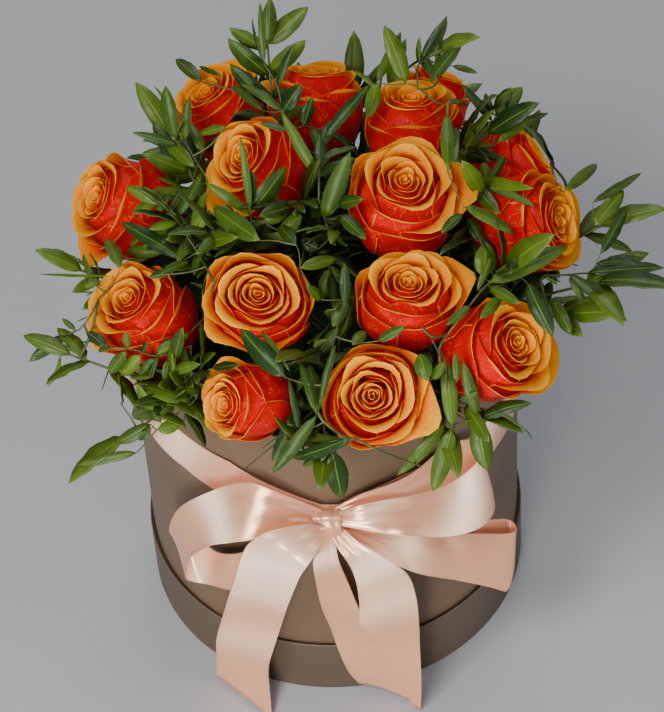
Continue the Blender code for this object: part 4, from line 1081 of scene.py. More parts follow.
def petal_finish(settings):
    """Two-coloured petals: orange-yellow faces that redden to the root, red backs with pale veins."""
    face, deep, back, rim = settings.face, settings.deep, settings.back, settings.rim
    orange = tuple(0.55 * a + 0.45 * b for a, b in zip(face, deep))
    nodes = Finish("petal", Specular_IOR_Level=0.12, Emission_Strength=0.08)
    blade = nodes.out("ShaderNodeUVMap", uv_map="petal")
    across, up, _ = nodes.split(blade)
    layer, inside, draw = (nodes.attribute(name) for name in ("layer", "inside", "draw"))
    spot = nodes.out("ShaderNodeVectorMath", {0: blade, 1: nodes.combined(draw, draw)}, operation="ADD")
    streaks = nodes.noise(spot, (26, 2.2), 4, 0.6)
    mottle = nodes.noise(spot, (5, 4), 3)
    curls = nodes.noise(spot, (9, 5), 2, 0.65)
    vein = (1 - nodes.step(abs(curls - 0.5), 0, 0.022)) * nodes.step(mottle, 0.42, 0.56)

    height = up + (streaks - 0.5) * 0.22 - layer * 0.07
    front = nodes.ramp(height, (0.4, tinted(deep, 0.5)), (0.72, deep), (0.86, orange), (0.97, face),
                       (1.0, tinted(face, 1.05)))
    front = nodes.mix(vein * 0.55, front, deep)

    behind = nodes.ramp(up * 0.8 + mottle * 0.35, (0.15, tinted(back, 0.3)), (0.5, tinted(back, 0.75)),
                        (0.95, tinted(back, 1.15)))
    behind = nodes.mix(nodes.step(streaks, 0.4, 0.75) * 0.25, behind, tinted(back, 0.5))
    behind = nodes.mix(vein * 0.6, behind, VEIN_COLOUR)
    band = 1.12 - layer * 0.1
    behind = nodes.mix(nodes.step(height, band - 0.14, band) * 0.85, behind, orange)

    # Painted highlight: a thin line along each petal's sides and tip is tinted with the rim colour
    edge = nodes.math("MAXIMUM", nodes.step(abs(across * 2 - 1), 0.97, 0.998), nodes.step(up, 0.975, 0.998))
    edge = edge * nodes.step(up, 0.2, 0.5)
    tone = nodes.mix(edge * 0.6, nodes.mix(inside, behind, front), rim)
    # The petals glow faintly in their own colour, a painted glow that lightens the shade between them
    return nodes.shade(Base_Color=tone, Emission_Color=tone, Roughness=mottle * 0.2 + 0.36,
                       Normal=nodes.bump(streaks + mottle * 1.5, 0.35, 0.35 * MM))


def leaf_finish(name, young, old, under):
    """Waxy leaves from dark to yellow green, with a pale midrib, fine veins and a duller underside."""
    nodes = Finish(name, Specular_IOR_Level=0.35)
    blade = nodes.attribute("blade", "Vector")
    _, along, _ = nodes.split(blade)
    upper, draw = nodes.attribute("upper"), nodes.attribute("draw")
    middle, branches = nodes.group(vein_group(), blade, 9, 0.9, 0.05)
    mottle = nodes.noise(nodes.place(), 120)
    youth = nodes.math("ADD", draw, (mottle - 0.5) * 0.5, clamp=True)
    top = nodes.mix(youth, old, young)
    for part, gain in ((nodes.step(along, 0.75, 1) * 0.25, 1.2), (branches * 0.16, 1.5), (middle * 0.6, 1.7)):
        top = nodes.mix(part, top, tinted(young, gain))
    below = nodes.mix(youth * 0.7, tinted(under, 0.75), tinted(under, 1.25))
    below = nodes.mix(middle * 0.5, below, tinted(under, 1.8))
    relief = middle * -0.8 + (branches * -0.35 + mottle * 0.4)
    return nodes.shade(Base_Color=nodes.mix(upper, below, top), Roughness=0.52 - upper * 0.16,
                       Normal=nodes.bump(relief, 0.5, 0.4 * MM))


def stem_finish(name, base, roughness):
    """Green bark with lengthwise variation and small pale flecks."""
    nodes = Finish(name, Roughness=roughness, Specular_IOR_Level=0.4)
    tone, _, grain = nodes.mottled(base, 0.6, 1.3, 70, 1500)
    tone = nodes.mix(nodes.step(grain, 0.58, 0.8) * 0.35, tone, tinted(base, 2.2))
    return nodes.shade(Base_Color=tone, Normal=nodes.bump(grain, 0.3, 0.2 * MM))


# Building meshes

def store(mesh, key, data):
    """Keeps a number or a vector for each point of a mesh."""
    data = np.array(data, np.float32)
    kind, field = ("FLOAT", "value") if data.ndim == 1 else ("FLOAT_VECTOR", "vector")
    mesh.attributes.new(key, kind, "POINT").data.foreach_set(field, data.ravel())


def new_mesh(points, faces, values=None, blade=None, blade_name="UVMap"):
    """A smooth mesh from arrays, with a value for each point and a UV map where given."""
    mesh = bpy.data.meshes.new("piece")
    mesh.from_pydata(np.asarray(points).tolist(), [], [list(face) for face in faces])
    for key, data in (values or {}).items():
        store(mesh, key, data)
    if blade is not None:
        corners = np.empty(len(mesh.loops), np.int32)
        mesh.loops.foreach_get("vertex_index", corners)
        mesh.uv_layers.new(name=blade_name).data.foreach_set("uv", blade[corners].astype(np.float32).ravel())
    mesh.shade_smooth()
    mesh.update()
    return mesh


def in_scene(name, data):
    """A new object in the scene."""
    thing = bpy.data.objects.new(name, data)
    bpy.context.scene.collection.objects.link(thing)
    return thing


def finished(name, mesh, finish, nodes):
    """Puts a finished mesh into the scene in place of the CAD nodes it stands for."""
    piece = in_scene(name, mesh)
    mesh.name = name
    mesh.materials.clear()
    mesh.materials.append(finish)
    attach(piece, "root")
    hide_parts(*nodes)
    return piece


def grid_normals(grid):
    normal = np.cross(np.gradient(grid, axis=1), np.gradient(grid, axis=0))
    return normal / np.maximum(np.linalg.norm(normal, axis=2, keepdims=True), 1e-12)


class Sheets:
    """Thin closed sheets gathered into one mesh, each from a grid of points."""

    def __init__(self):
        self.points, self.faces, self.blade, self.inside = [], [], [], []
        self.values = {}
        self.count = 0

    def add(self, grid, thickness, blade, **values):
        rows, columns = grid.shape[:2]
        half = grid_normals(grid) * (np.broadcast_to(thickness, (rows, columns))[..., None] / 2)
        for layer in (grid + half, grid - half):
            self.points.append(layer.reshape(-1, 3))
            self.blade.append(blade.reshape(-1, 2))
        size = rows * columns
        self.inside.append(np.repeat((0.0, 1.0), size))
        for key, value in values.items():
            value = np.broadcast_to(value, (rows, columns)).ravel()
            self.values.setdefault(key, []).append(np.tile(value, 2))
        self.faces.append(sheet_faces(rows, columns) + self.count)
        self.count += 2 * size

    def mesh(self, blade_name):
        values = {key: np.concatenate(rows) for key, rows in self.values.items()}
        values["inside"] = np.concatenate(self.inside)
        return new_mesh(np.concatenate(self.points), np.concatenate(self.faces), values,
                        np.concatenate(self.blade), blade_name)


def rounded(section, radius, steps=4):
    """A section's inner corners rounded by short arcs, each held by a point on both sides."""
    section = np.asarray(section, float)
    points = [section[0]]
    for before, corner, after in zip(section, section[1:], section[2:]):
        back, on = unit(before - corner), unit(after - corner)
        points.append(corner + back * 1.8 * radius)
        for t in np.linspace(0, 1, steps + 1):
            points.append(corner + back * radius * (1 - t) ** 2 + on * radius * t ** 2)
        points.append(corner + on * 1.8 * radius)
    points.append(section[-1])
    return np.array(points)


def turned(section):
    """A section turned once round Z. It starts and ends on the axis, so the piece is closed."""
    angles = np.arange(ROUND_SIDES) * 2 * math.pi / ROUND_SIDES
    rings = section[1:-1]
    around = np.stack((np.cos(angles), np.sin(angles)), axis=1)
    points = np.concatenate([np.column_stack((around * r, np.full(ROUND_SIDES, z))) for r, z in rings])
    points = np.vstack((points, (0, 0, section[0][1]), (0, 0, section[-1][1])))
    first, last = len(points) - 2, len(points) - 1
    faces = []
    for k in range(ROUND_SIDES):
        n = (k + 1) % ROUND_SIDES
        for i in range(len(rings) - 1):
            a, b = i * ROUND_SIDES, (i + 1) * ROUND_SIDES
            faces.append((a + k, b + k, b + n, a + n))
        end = (len(rings) - 1) * ROUND_SIDES
        faces.append((first, k, n))
        faces.append((end + k, last, end + n))
    return new_mesh(points, faces)


# Box, lid, liner and foam

def cup_section(radius, wall, floor, bottom, top, edge):
    inside = radius - wall
    return rounded(((0, bottom + floor), (inside, bottom + floor), (inside, top), (radius, top),
                    (radius, bottom), (0, bottom)), edge)


class BoxMake(bpy.types.Operator):
    """Make the card box and its upturned lid"""
    bl_idname = "box_of_roses.make_box"
    bl_label = "Box and lid"

    def execute(self, context):
        settings = context.scene.rose_holder
        body = cup_section(BOX_RADIUS, BOX_WALL, BOX_WALL, BOX_BOTTOM, BOX_TOP, settings.edge)
        card = card_finish("box_card", settings.card, BOX_TOP)
        finished("box_card", turned(body), card, ["box_body"])
        lid = cup_section(LID_RADIUS, LID_WALL, LID_FLOOR, 0, LID_HEIGHT, settings.edge)
        card = card_finish("lid_card", settings.lid, LID_HEIGHT)
        finished("lid_card", turned(lid), card, ["box_lid"])
        return {"FINISHED"}


class FillingMake(bpy.types.Operator):
    """Make the foam block, its plain holes and the film liner"""
    bl_idname = "box_of_roses.make_filling"
    bl_label = "Foam and liner"

    def execute(self, context):
        settings = context.scene.rose_holder
        film = cup_section(LINER_RADIUS, LINER_WALL, LINER_WALL, LINER_BOTTOM, LINER_TOP, LINER_EDGE)
        finished("liner_cup", turned(film), film_finish(settings.film), ["liner"])
        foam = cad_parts["foam"]
        foam.data.materials.clear()
        foam.data.materials.append(foam_finish(settings.foam))
        return {"FINISHED"}


# Ribbon

WAVE_LENGTH = 50 * MM
# Slant of the painted highlights across the ribbon, and the band's own painted highlights
PAINTED_HIGHLIGHT_SLANT = 6 * MM
BAND_PAINTED_HIGHLIGHTS = ((205, 14, 0.7), (362, 14, 0.5))
RIBBON_COLUMNS, BAND_POINTS, KNOT_POINTS = 17, 241, 49
# How far from a gathered place the pleats fade, and the cloth's half width as the satin's finish has it
PLEAT_FADE = 22 * MM
HALF_CLOTH = 12.5 * MM
WOVEN_EDGE = (11.2 * MM, 12.1 * MM)
STITCH = 1.1 * MM
# Colours of the painted highlight and of its painted glow
PAINTED_HIGHLIGHT_COLOUR, PAINTED_GLOW_COLOUR = (1, 0.8, 0.64), (1, 0.74, 0.54)


def across_sheet(columns):
    """Places across a sheet from -1 to 1, closer together at its edges."""
    return np.sin(np.linspace(-math.pi / 2, math.pi / 2, columns))


def satin_sheet(sheets, upper, lower, settings, deep, gathers, phase, rising, painted_highlights):
    """A length of ribbon between two edge paths, pleated where it is gathered. Returns its length.

    Its slow waves are deep each way and start to rise at the place rising, a length along it. The satin has
    a painted highlight, paler and faintly glowing, at each given place along it, with a width and a strength.
    """
    s = across_sheet(RIBBON_COLUMNS)
    share = (s[None, :, None] + 1) / 2
    grid = upper[:, None] * (1 - share) + lower[:, None] * share
    along = lengths_along((upper + lower) / 2)
    fold = np.zeros(len(along))
    for place in gathers:
        fold = np.maximum(fold, np.exp(-np.abs(along - place * along[-1]) / PLEAT_FADE))
    crown = settings.crown * (1 - s ** 2)[None] * (1 - fold)[:, None]
    drift = phase + along[:, None] * 22
    pleats = settings.pleats * fold[:, None] * np.sin(2.6 * math.pi * s[None] + drift) * (1 - s ** 4)[None]
    ripple = 0.35 * MM * np.sin(along[:, None] * 95 + phase) * np.sin(math.pi * s[None] * 0.8 + phase)
    wave = deep * (np.sin((along - rising) * 2 * math.pi / WAVE_LENGTH) * (1 - fold))[:, None]
    grid = grid + grid_normals(grid) * (crown + pleats + ripple + wave)[..., None]
    edge = np.clip((np.abs(s) - 0.93) / 0.05, 0, 1)
    thickness = settings.cloth + (settings.bead - settings.cloth) * edge
    blade = np.stack(np.broadcast_arrays(s[None] * HALF_CLOTH, along[:, None]), axis=2)
    # Painted highlights: slanted bands across the ribbon where the satin is painted paler
    slanted = along[:, None] + PAINTED_HIGHLIGHT_SLANT * s[None]
    shine = sum(strength * np.exp(-((slanted - place * MM) / (wide * MM)) ** 2)
                for place, wide, strength in painted_highlights)
    sheets.add(grid, thickness[None], blade, shine=np.minimum(shine, 1))
    return along[-1]


def band_paths():
    """The band's two edges round the box, as closed paths that start at the back."""
    angles = np.linspace(-180, 180, BAND_POINTS)
    out = np.stack((np.sin(np.radians(angles)), -np.cos(np.radians(angles))), axis=1)
    near = np.exp(-np.abs(angles) / 10)
    radius = BAND_RADIUS + 0.25 * MM + 0.8 * MM * near
    paths = []
    for table in (BAND_UPPER, BAND_LOWER):
        heights = profile_at(table, angles) * MM
        paths.append(np.column_stack((out * radius[:, None], heights)))
    return paths


# Each piece's gathered places as shares of its length, where its waves rise, and its painted highlights in mm
RIBBON_PIECES = {
    "ribbon_loop_left": ((0.0, 1.0), 45 * MM, ((56, 9, 1.0), (132, 6, 0.6))),
    "ribbon_loop_right": ((0.0, 1.0), 45 * MM, ((62, 10, 1.0), (15, 7, 0.4))),
    "ribbon_loop_low": ((0.0,), 30 * MM, ((36, 10, 0.6),)),
    "ribbon_tail_left": ((0.0,), 34 * MM, ((42, 20, 1.0), (74, 18, 0.5), (122, 14, 0.3))),
    "ribbon_tail_middle": ((0.0,), 20 * MM, ((20, 9, 0.8),)),
    "ribbon_tail_right": ((0.0,), 30 * MM, ((28, 13, 0.9), (60, 15, 0.4))),
}


class RibbonMake(bpy.types.Operator):
    """Make the satin band, the bow's loops and tails and its knot"""
    bl_idname = "box_of_roses.make_ribbon"
    bl_label = "Ribbon and bow"

    def execute(self, context):
        settings = context.scene.rose_ribbon
        satin = satin_finish(settings.satin)
        sheets = Sheets()
        long = satin_sheet(sheets, *band_paths(), settings, 0, (0.5,), 0.4, 0, BAND_PAINTED_HIGHLIGHTS)
        self.declare("band_satin", sheets, satin, "ribbon_band", long, "stretched")
        for number, (node, (gathers, rising, painted_highlights)) in enumerate(RIBBON_PIECES.items()):
            stations = np.reshape(STRIPS[node], (-1, 2, 3))
            upper = smooth_along(stations[:, 0], 7) * MM
            lower = smooth_along(stations[:, 1], 7) * MM
            sheets = Sheets()
            long = satin_sheet(sheets, upper, lower, settings, settings.wave, gathers, 1.3 * number, rising,
                               painted_highlights)
            self.declare(node.replace("ribbon_", "bow_"), sheets, satin, node, long, "gathered")
        self.knot(satin, settings)
        return {"FINISHED"}

    def declare(self, name, sheets, satin, node, long, held):
        piece = finished(name, sheets.mesh("satin"), satin, [node])

    def knot(self, satin, settings):
        """The short length wrapped over the gathered ribbon, as a pleated ring round X."""
        turns = np.linspace(-math.pi, math.pi, KNOT_POINTS)[:, None]
        s = across_sheet(RIBBON_COLUMNS)[None]
        pleat = 0.35 * MM * np.sin(2.6 * math.pi * s + 0.5 * np.sin(turns)) * (1 - s ** 4)
        shrink = 1 - 0.16 * s ** 2
        grid = np.stack(np.broadcast_arrays(
            KNOT_CENTRE[0] + KNOT_HALF[0] * (s * (0.92 - 0.22 * np.cos(turns)) - 0.18 * np.sin(turns)),
            KNOT_CENTRE[1] - np.cos(turns) * (KNOT_HALF[1] * shrink + pleat),
            KNOT_CENTRE[2] + np.sin(turns) * (KNOT_HALF[2] * shrink + pleat)), axis=2)
        sheets = Sheets()
        round_it = 2 * math.pi * (KNOT_HALF[1] + KNOT_HALF[2]) / 2
        blade = np.stack(np.broadcast_arrays(s * HALF_CLOTH, turns / (2 * math.pi) * round_it), axis=2)
        sheets.add(grid, settings.cloth, blade, shine=0)
        piece = finished("bow_knot", sheets.mesh("satin"), satin, ["ribbon_knot"])


# Roses

def give_way(points, rose, roses):
    """Eases points back from the plane halfway to each neighbouring bloom."""
    for other in roses:
        if other is rose:
            continue
        gap = rose["middle"] - other["middle"]
        distance = np.linalg.norm(gap)
        if distance > 1.4 * (rose["radius"] + other["radius"]):
            continue
        way = gap / distance
        plane = other["middle"] + way * distance * other["radius"] / (rose["radius"] + other["radius"])
        room = (points - plane) @ way
        eased = PETAL_SOFT * np.exp((np.minimum(room, PETAL_SOFT) - PETAL_SOFT) / PETAL_SOFT)
        points = points + np.where(room < PETAL_SOFT, eased - room, 0)[..., None] * way
    return points


def petal_grid(rose, number, count, draw):
    """A petal's points from root to rim and from edge to edge, and its places across and along."""
    t = number / (count - 1)
    u = (0.55 * np.linspace(-1, 1, PETAL_COLUMNS) + 0.45 * across_sheet(PETAL_COLUMNS))[None, :]
    v = np.sin(np.linspace(0, math.pi / 2, PETAL_ROWS))[:, None]
    order, *columns = zip(*PETAL_LAYERS)
    reach, top, half, curl, start, roll, drop = (np.interp(t, order, column) for column in columns)
    outer = max(0, 1 - t / 0.3)
    toward = math.cos(math.radians(GOLDEN_ANGLE * number))
    opened = (0.2 + 0.8 * max(0, toward) ** 1.5) * draw.uniform(0.7, 1.3) if outer else 1.0
    opened = rose["open"] if number == 0 else opened
    curl = math.radians(curl * opened)
    top *= draw.uniform(0.985, 1.01) - 0.05 * outer * (1 - opened)
    half = math.radians(half * draw.uniform(0.94, 1.06))
    turn = math.radians(rose["turn"] + GOLDEN_ANGLE * number + draw.uniform(-10, 10) * (number > 0))
    lean = 0.2 * outer * max(0, opened - 0.62)
    wave = draw.uniform(0, 2 * math.pi)
    tilt = draw.uniform(-0.03, 0.03)

    tip = 0.06 * (1 - t) ** 2 * np.exp(-(u / 0.22) ** 2)
    s = v * (1 + tip - drop * np.abs(u) ** 2.6 + tilt * u + 0.012 * np.sin(6 * u + wave))
    stand = top / (1 + (1 - start) / start * math.sin(min(curl, math.pi / 2)) / curl)
    past = np.clip((s - start) / (1 - start), 0, 1.2)
    arc = (1 - start) * (stand / start) / curl
    height = stand * np.minimum(s / start, 1) + arc * np.sin(curl * past)
    outward = arc * (1 - np.cos(curl * past)) * rose["length"]

    wide = 0.3 + 0.7 * np.sin(np.clip(s / 0.62, 0, 1) * math.pi / 2)
    angle = turn + u * half * wide
    body = profile_at(BUD_SHAPE, np.minimum(height, stand))
    side = np.clip((np.abs(u) - 0.45) / 0.55, 0, 1) ** 2 * s ** 3
    ripple = 0.028 * np.sin(3.3 * u + wave) * s ** 3 * (1 - t) + 0.014 * np.sin(7 * u + 2 * wave) * outer * s
    radius = rose["radius"] * (body * reach * (1 + 0.04 * u) + lean * np.clip(s - 0.4, 0, 1) ** 1.5 / 0.46
                               + roll * side + ripple) + outward
    oval = 1 + 0.06 * np.cos(2 * angle + rose["oval"]) + 0.025 * np.cos(5 * angle + 2 * rose["oval"]) * s ** 2
    oval += 0.03 * min(1, t / 0.4) * np.cos(3 * angle + 0.9 * number) * s ** 2
    round_it = rose["side"] * np.cos(angle)[..., None] + rose["across"] * np.sin(angle)[..., None]
    grid = (rose["base"] + rose["axis"] * rose["length"] * height[..., None]
            + (radius * oval)[..., None] * round_it)
    blade = np.stack(np.broadcast_arrays((u + 1) / 2, s), axis=2)
    return grid, blade


class RoseMake(bpy.types.Operator):
    """Make the petals of every rose"""
    bl_idname = "box_of_roses.make_roses"
    bl_label = "Rose petals"

    def execute(self, context):
        settings = context.scene.rose_blooms
        finish = petal_finish(settings)
        roses, _ = layout()
        for number, rose in enumerate(roses, 1):
            draw = np.random.default_rng(PETAL_SEED + number)
            rose["oval"] = draw.uniform(0, 2 * math.pi)
            sheets = Sheets()
            for petal in range(settings.petals):
                grid, blade = petal_grid(rose, petal, settings.petals, draw)
                grid = give_way(grid, rose, roses)
                edge = np.maximum(np.abs(blade[..., 0] * 2 - 1), blade[..., 1]) ** 8
                sheets.add(grid, settings.thickness * (1 - 0.55 * edge), blade,
                           layer=petal / (settings.petals - 1), draw=draw.uniform())
            node = f"rose_{number:02d}_bloom"
            finished(node.replace("bloom", "petals"), sheets.mesh("petal"), finish, [node])
        return {"FINISHED"}


# Leaves, twigs and stems as geometry nodes

@functools.cache
def blade_tree():
    """Leaf blades on points: each point gives its blade's way, face, length and droop."""
    nodes, (points, width, thickness, fold, rows, columns, finish) = new_group(
        "leaf_blades", "GeometryNodeTree", ("Geometry", "Geometry", None), ("Width", "Float", LEAF_WIDTH),
        ("Thickness", "Float", 0.01), ("Fold", "Float", 0.25), ("Rows", "Int", 9), ("Columns", "Int", 3),
        ("Finish", "Material", None))

    def named(name, kind="FLOAT_VECTOR"):
        return nodes.out("GeometryNodeInputNamedAttribute", {"Name": name}, data_type=kind)

    def stored(shape, name, value, kind):
        return nodes.out("GeometryNodeStoreNamedAttribute", {"Geometry": shape, "Name": name, "Value": value},
                         data_type=kind, domain="POINT")

    grid = nodes.out("GeometryNodeMeshGrid", {"Size X": 1, "Size Y": 1, "Vertices X": columns,
                                              "Vertices Y": rows})
    x, y, _ = nodes.split(nodes.out("GeometryNodeInputPosition"))
    place = nodes.combined(nodes.math("SINE", x * math.pi) * 0.5 + 0.5, y + 0.5)
    grid = stored(grid, "blade", place, "FLOAT_VECTOR")
    across, along, _ = nodes.split(named("blade"))
    side = across * 2 - 1
    square = along * along
    swell = nodes.math("SINE", nodes.math("POWER", along, 0.85) * math.pi)
    half = nodes.math("POWER", nodes.math("MAXIMUM", swell, 0), 0.66) * (width * 0.5)
    wave = nodes.math("SINE", along * 17) * (half * (side * side) * 0.12)
    spot = nodes.combined(side * half, along - square * 0.08, half * abs(side) * fold + wave)
    shaped = nodes.out("GeometryNodeSetPosition", {"Geometry": grid, "Position": spot})
    raised = nodes.out("GeometryNodeExtrudeMesh", {"Mesh": shaped, "Offset": nodes.combined(0, 0, thickness),
                                                   "Offset Scale": 1, "Individual": False})
    flipped = nodes.out("GeometryNodeFlipFaces", {"Mesh": shaped})
    both = nodes.add("GeometryNodeJoinGeometry")
    for layer, upper in ((flipped, 0), (raised, 1)):
        nodes.feed(both.inputs[0], stored(layer, "upper", upper, "FLOAT"))
    closed = nodes.out("GeometryNodeMergeByDistance", {"Geometry": Flow(nodes, both.outputs[0]),
                                                       "Distance": 0.0005})
    turn = nodes.out("FunctionNodeAxesToRotation", {0: named("way"), 1: named("up")},
                     primary_axis="Y", secondary_axis="Z")
    long = named("length", "FLOAT")
    size = nodes.combined(long * named("slim", "FLOAT"), long, long)
    blades = nodes.out("GeometryNodeInstanceOnPoints", {"Points": points, "Instance": closed,
                                                        "Rotation": turn, "Scale": size})
    blades = nodes.out("GeometryNodeRealizeInstances", {0: blades})
    bent = nodes.out("ShaderNodeVectorMath", {0: named("fall"), "Scale": long * square}, operation="SCALE")
    return nodes.dressed(nodes.out("GeometryNodeSetPosition", {"Geometry": blades, "Offset": bent}), finish)


@functools.cache
def rod_tree():
    """Round rods along paths, as thick at each point as its thick value."""
    nodes, (paths, sides, finish) = new_group(
        "round_rods", "GeometryNodeTree", ("Geometry", "Geometry", None), ("Sides", "Int", 8),
        ("Finish", "Material", None))
    thick = nodes.out("GeometryNodeInputNamedAttribute", {"Name": "thick"}, data_type="FLOAT")
    curve = nodes.out("GeometryNodeMeshToCurve", {"Mesh": paths})
    ring = nodes.out("GeometryNodeCurvePrimitiveCircle", {"Resolution": sides, "Radius": 1})
    rod = nodes.out("GeometryNodeCurveToMesh", {"Curve": curve, "Profile Curve": ring, "Scale": thick,
                                                "Fill Caps": True})
    return nodes.dressed(rod, finish)


def through_tree(mesh, tree, **inputs):
    """The plain mesh that a geometry node tree makes of a mesh. Inputs are given by their names."""
    thing = in_scene("shape", mesh)
    modifier = thing.modifiers.new("shape", "NODES")
    modifier.node_group = tree
    for socket in tree.interface.items_tree:
        if socket.item_type == "SOCKET" and socket.in_out == "INPUT" and socket.name in inputs:
            modifier[socket.identifier] = inputs[socket.name]
    bpy.context.view_layer.update()
    made = bpy.data.meshes.new_from_object(thing.evaluated_get(bpy.context.evaluated_depsgraph_get()))
    bpy.data.objects.remove(thing)
    bpy.data.meshes.remove(mesh)
    return made


def blades_mesh(leaves, finish, width, thickness, fold):
    """All the given leaves as one plain mesh."""
    mesh = bpy.data.meshes.new("roots")
    mesh.from_pydata([tuple(leaf["root"]) for leaf in leaves], [], [])
    for leaf in leaves:
        leaf.setdefault("fall", -leaf["up"] * leaf.get("droop", 0))
    for key in ("way", "up", "fall", "length", "slim", "draw"):
        store(mesh, key, [leaf.get(key, 1.0) for leaf in leaves])
    usual = np.mean([leaf["length"] for leaf in leaves])
    return through_tree(mesh, blade_tree(), Width=width, Thickness=float(thickness / usual), Fold=fold,
                        Finish=finish)


def rods_mesh(paths, finish, sides):
    """Rods along several paths, each a list of points and their radii."""
    points, edges, thick = [], [], []
    for path, radii in paths:
        edges += [(len(points) + i, len(points) + i + 1) for i in range(len(path) - 1)]
        points += [tuple(point) for point in path]
        thick += list(radii)
    mesh = bpy.data.meshes.new("paths")
    mesh.from_pydata(points, edges, [])
    store(mesh, "thick", thick)
    return through_tree(mesh, rod_tree(), Sides=sides, Finish=finish)


class StemMake(bpy.types.Operator):
    """Make the roses' stems, hips and sepals"""
    bl_idname = "box_of_roses.make_stems"
    bl_label = "Stems and sepals"

    def execute(self, context):
        settings = context.scene.rose_green
        bark = stem_finish("rose_stem", settings.stem, 0.45)
        green = leaf_finish("sepal", tinted(settings.stem, 1.3), tinted(settings.stem, 0.6), settings.under)
        roses, _ = layout()
        for number, rose in enumerate(roses, 1):
            base = rose["base"] - rose["axis"] * GAP
            hip = [base - rose["axis"] * HIP_LENGTH * share for share, _ in HIP_SHAPE]
            path = np.vstack((rose["stem"][:1], smooth_along(rose["stem"][1:-1], 6), hip))
            radii = [STEM_RADIUS] * (len(path) - len(hip)) + [STEM_RADIUS * wide for _, wide in HIP_SHAPE]
            node = f"rose_{number:02d}_stem"
            finished(node + "_bark", rods_mesh([(path, radii)], bark, 12), bark, [node])
            leaves = self.sepals(rose, base, np.random.default_rng(SEPAL_SEED + number))
            mesh = blades_mesh(leaves, green, SEPAL_WIDTH, settings.blade, SEPAL_FOLD)
            finished(node.replace("stem", "sepals"), mesh, green, [node])
        return {"FINISHED"}

    def sepals(self, rose, base, draw):
        """Five pointed sepals round the hip that hug the petals and curl back at their tips."""
        sepals = []
        for k in range(SEPALS):
            angle = 2 * math.pi * k / SEPALS
            out = rose["side"] * math.cos(angle) + rose["across"] * math.sin(angle)
            way = unit(out + rose["axis"] * draw.uniform(0.35, 0.6))
            up = unit(np.cross(np.cross(way, rose["axis"]), way))
            sepals.append({"root": base - rose["axis"] * 1.2 * MM + out * SEPAL_RING, "way": way, "up": up,
                           "length": SEPAL_LENGTH * rose["radius"] * draw.uniform(0.85, 1.1),
                           "droop": SEPAL_DROOP * draw.uniform(0.2, 1.4), "draw": draw.uniform()})
        return sepals


class SprayMake(bpy.types.Operator):
    """Make the leafy sprays: their twigs and all their leaves"""
    bl_idname = "box_of_roses.make_sprays"
    bl_label = "Leafy sprays"

    def execute(self, context):
        settings = context.scene.rose_green
        bark = stem_finish("twig_bark", settings.twig, 0.55)
        green = leaf_finish("leaf", settings.young, settings.old, settings.under)
        _, sprays = layout()
        for number, spray in enumerate(sprays, 1):
            draw = np.random.default_rng(COLOUR_SEED + number)
            tone = draw.uniform(0.1, 0.6)
            for leaf in spray["leaves"]:
                leaf["draw"] = float(np.clip(tone + draw.normal() * 0.22, 0, 1))
            node = f"spray_{number:02d}"
            mesh = blades_mesh(spray["leaves"], green, LEAF_WIDTH, settings.blade, settings.fold)
            finished(node + "_leaves", mesh, green, [node])
            paths = []
            for twig in spray["twigs"]:
                path = np.vstack((twig["path"][:1], smooth_along(twig["path"][1:], 6)))
                if not paths:
                    path = np.vstack((spray["foot"] - (0, 0, HOLE_DEPTH - GAP), path))
                paths.append((path, TWIG_RADIUS * np.linspace(1.05, 0.55, len(path))))
            for path in spray["sprigs"]:
                stout = SPRIG_RADIUS * min(1.0, 0.45 + len(path) / 80)
                path = path[np.unique(np.append(np.arange(0, len(path), 4), len(path) - 1))]
                paths.append((path, stout * np.linspace(1.1, 0.5, len(path))))
            finished(node + "_twigs", rods_mesh(paths, bark, 8), bark, [node])
        return {"FINISHED"}


# Floor, light and camera

SQUARE = ((-1, -1), (1, -1), (1, 1), (-1, 1))
FLOOR_HALF = 3.0
FLOOR_DEPTH = -0.2 * MM
SKY_COLOUR = (0.9, 0.93, 0.97, 1)
LAMP_AIM = np.array((0, 0, 0.15))
# Each lamp's place and size in metres, share of the key light's power and colour
LAMPS = {
    "key": ((-0.5, -0.7, 1.25), 0.45, 1.0, (1.0, 0.97, 0.93)),
    "front": ((-0.35, -1.25, 0.55), 0.5, 0.75, (1.0, 0.97, 0.94)),
    "low": ((-0.3, -1.2, 0.06), 0.35, 0.75, (1.0, 0.97, 0.94)),
    "fill": ((0.95, -0.5, 0.9), 0.8, 0.25, (0.93, 0.96, 1.0)),
    "back": ((0.15, 1.05, 1.1), 0.8, 0.5, (1.0, 1.0, 1.0)),
}


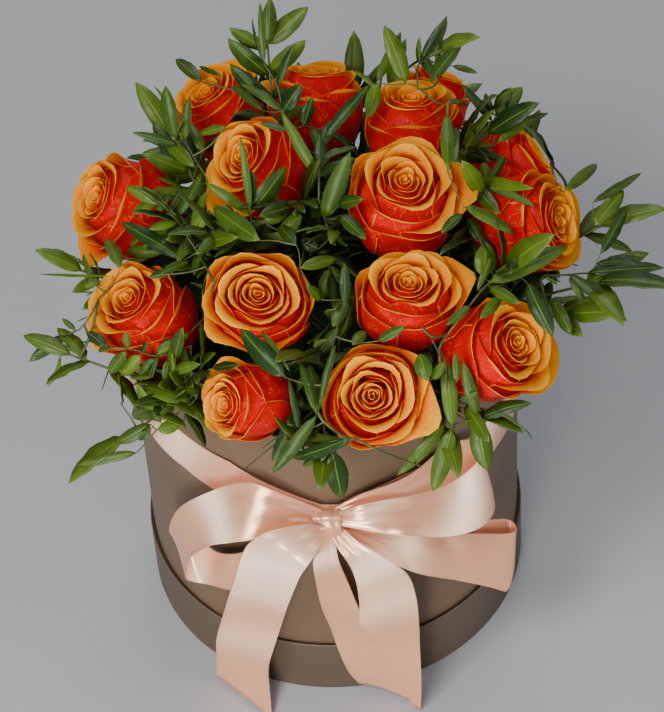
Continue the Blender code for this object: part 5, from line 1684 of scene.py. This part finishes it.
class StageMake(bpy.types.Operator):
    """Make the plain floor, the soft lights and the camera at the photo's angle"""
    bl_idname = "box_of_roses.make_stage"
    bl_label = "Floor, light and camera"

    def execute(self, context):
        settings = context.scene.rose_stage
        self.floor(settings.floor)
        for name, lamp in LAMPS.items():
            self.lamp(name, settings.key, *lamp)
        world = bpy.data.worlds.new("studio")
        world.use_nodes = True
        background = world.node_tree.nodes["Background"]
        background.inputs["Color"].default_value = SKY_COLOUR
        background.inputs["Strength"].default_value = settings.sky
        context.scene.world = world
        self.camera(context.scene)
        return {"FINISHED"}

    def floor(self, tint):
        mesh = bpy.data.meshes.new("floor")
        corners = [(x * FLOOR_HALF, y * FLOOR_HALF, FLOOR_DEPTH) for x, y in SQUARE]
        mesh.from_pydata(corners, [], [(0, 1, 2, 3)])
        floor = in_scene("floor", mesh)
        nodes = Finish("pale_floor", Roughness=0.7)
        mesh.materials.append(nodes.shade(Base_Color=nodes.mottled(tint, 0.96, 1.03, 3, 200)[0]))

    def lamp(self, name, key, place, size, power, tint):
        light = bpy.data.lights.new(name, "AREA")
        light.shape, light.size = "DISK", size
        light.energy, light.color = key * power, tint
        lamp = in_scene(name, light)
        lamp.location = place
        lamp.rotation_mode = "QUATERNION"
        lamp.rotation_quaternion = Vector(LAMP_AIM - place).to_track_quat("-Z", "Y")

    def camera(self, scene):
        data = bpy.data.cameras.new("photo_view")
        data.sensor_width = 36
        data.lens = FOCAL_PIXELS / PICTURE_HEIGHT * data.sensor_width
        data.clip_start = 0.05
        up = np.array((0, math.sin(CAMERA_PITCH), math.cos(CAMERA_PITCH)))
        forward = np.array((0, math.cos(CAMERA_PITCH), -math.sin(CAMERA_PITCH)))
        right = np.array((1.0, 0, 0))
        c, s = math.cos(CAMERA_ROLL), math.sin(CAMERA_ROLL)
        columns = (c * right + s * up, c * up - s * right, -forward, CAMERA_PLACE)
        camera = in_scene("photo_view", data)
        camera.matrix_world = Matrix([*zip(*columns), (0, 0, 0, 1)])
        scene.camera = camera


# Panel and registration

class RosesPanel(bpy.types.Panel):
    """Lists the pieces' settings and the buttons that make them"""
    bl_idname = "VIEW3D_PT_box_of_roses"
    bl_label = "Box of roses"
    bl_space_type = "VIEW_3D"
    bl_region_type = "UI"
    bl_category = "Box of roses"

    def draw(self, context):
        for name, group, operators in PARTS:
            part = self.layout.box()
            part.label(text=name)
            for key in SETTINGS[group].__annotations__:
                part.prop(getattr(context.scene, group), key)
            for operator in operators:
                part.operator(operator.bl_idname)


SETTINGS = {"rose_holder": HolderSettings, "rose_ribbon": RibbonSettings, "rose_blooms": RoseSettings,
            "rose_green": GreenSettings, "rose_stage": StageSettings}
PARTS = (
    ("Box", "rose_holder", (BoxMake, FillingMake)),
    ("Ribbon", "rose_ribbon", (RibbonMake,)),
    ("Roses", "rose_blooms", (RoseMake,)),
    ("Greenery", "rose_green", (StemMake, SprayMake)),
    ("Stage", "rose_stage", (StageMake,)),
)


def register():
    for group, settings in SETTINGS.items():
        bpy.utils.register_class(settings)
        setattr(bpy.types.Scene, group, bpy.props.PointerProperty(type=settings))
    for _, _, operators in PARTS:
        for operator in operators:
            bpy.utils.register_class(operator)
    bpy.utils.register_class(RosesPanel)


def unregister():
    bpy.utils.unregister_class(RosesPanel)
    for _, _, operators in PARTS:
        for operator in operators:
            bpy.utils.unregister_class(operator)
    for group, settings in SETTINGS.items():
        delattr(bpy.types.Scene, group)
        bpy.utils.unregister_class(settings)


def main():
    register()
    bpy.ops.box_of_roses.make_stage()
    bpy.ops.box_of_roses.make_box()
    bpy.ops.box_of_roses.make_filling()
    bpy.ops.box_of_roses.make_ribbon()
    bpy.ops.box_of_roses.make_roses()
    bpy.ops.box_of_roses.make_stems()
    bpy.ops.box_of_roses.make_sprays()


if __name__ == "__main__":
    main()
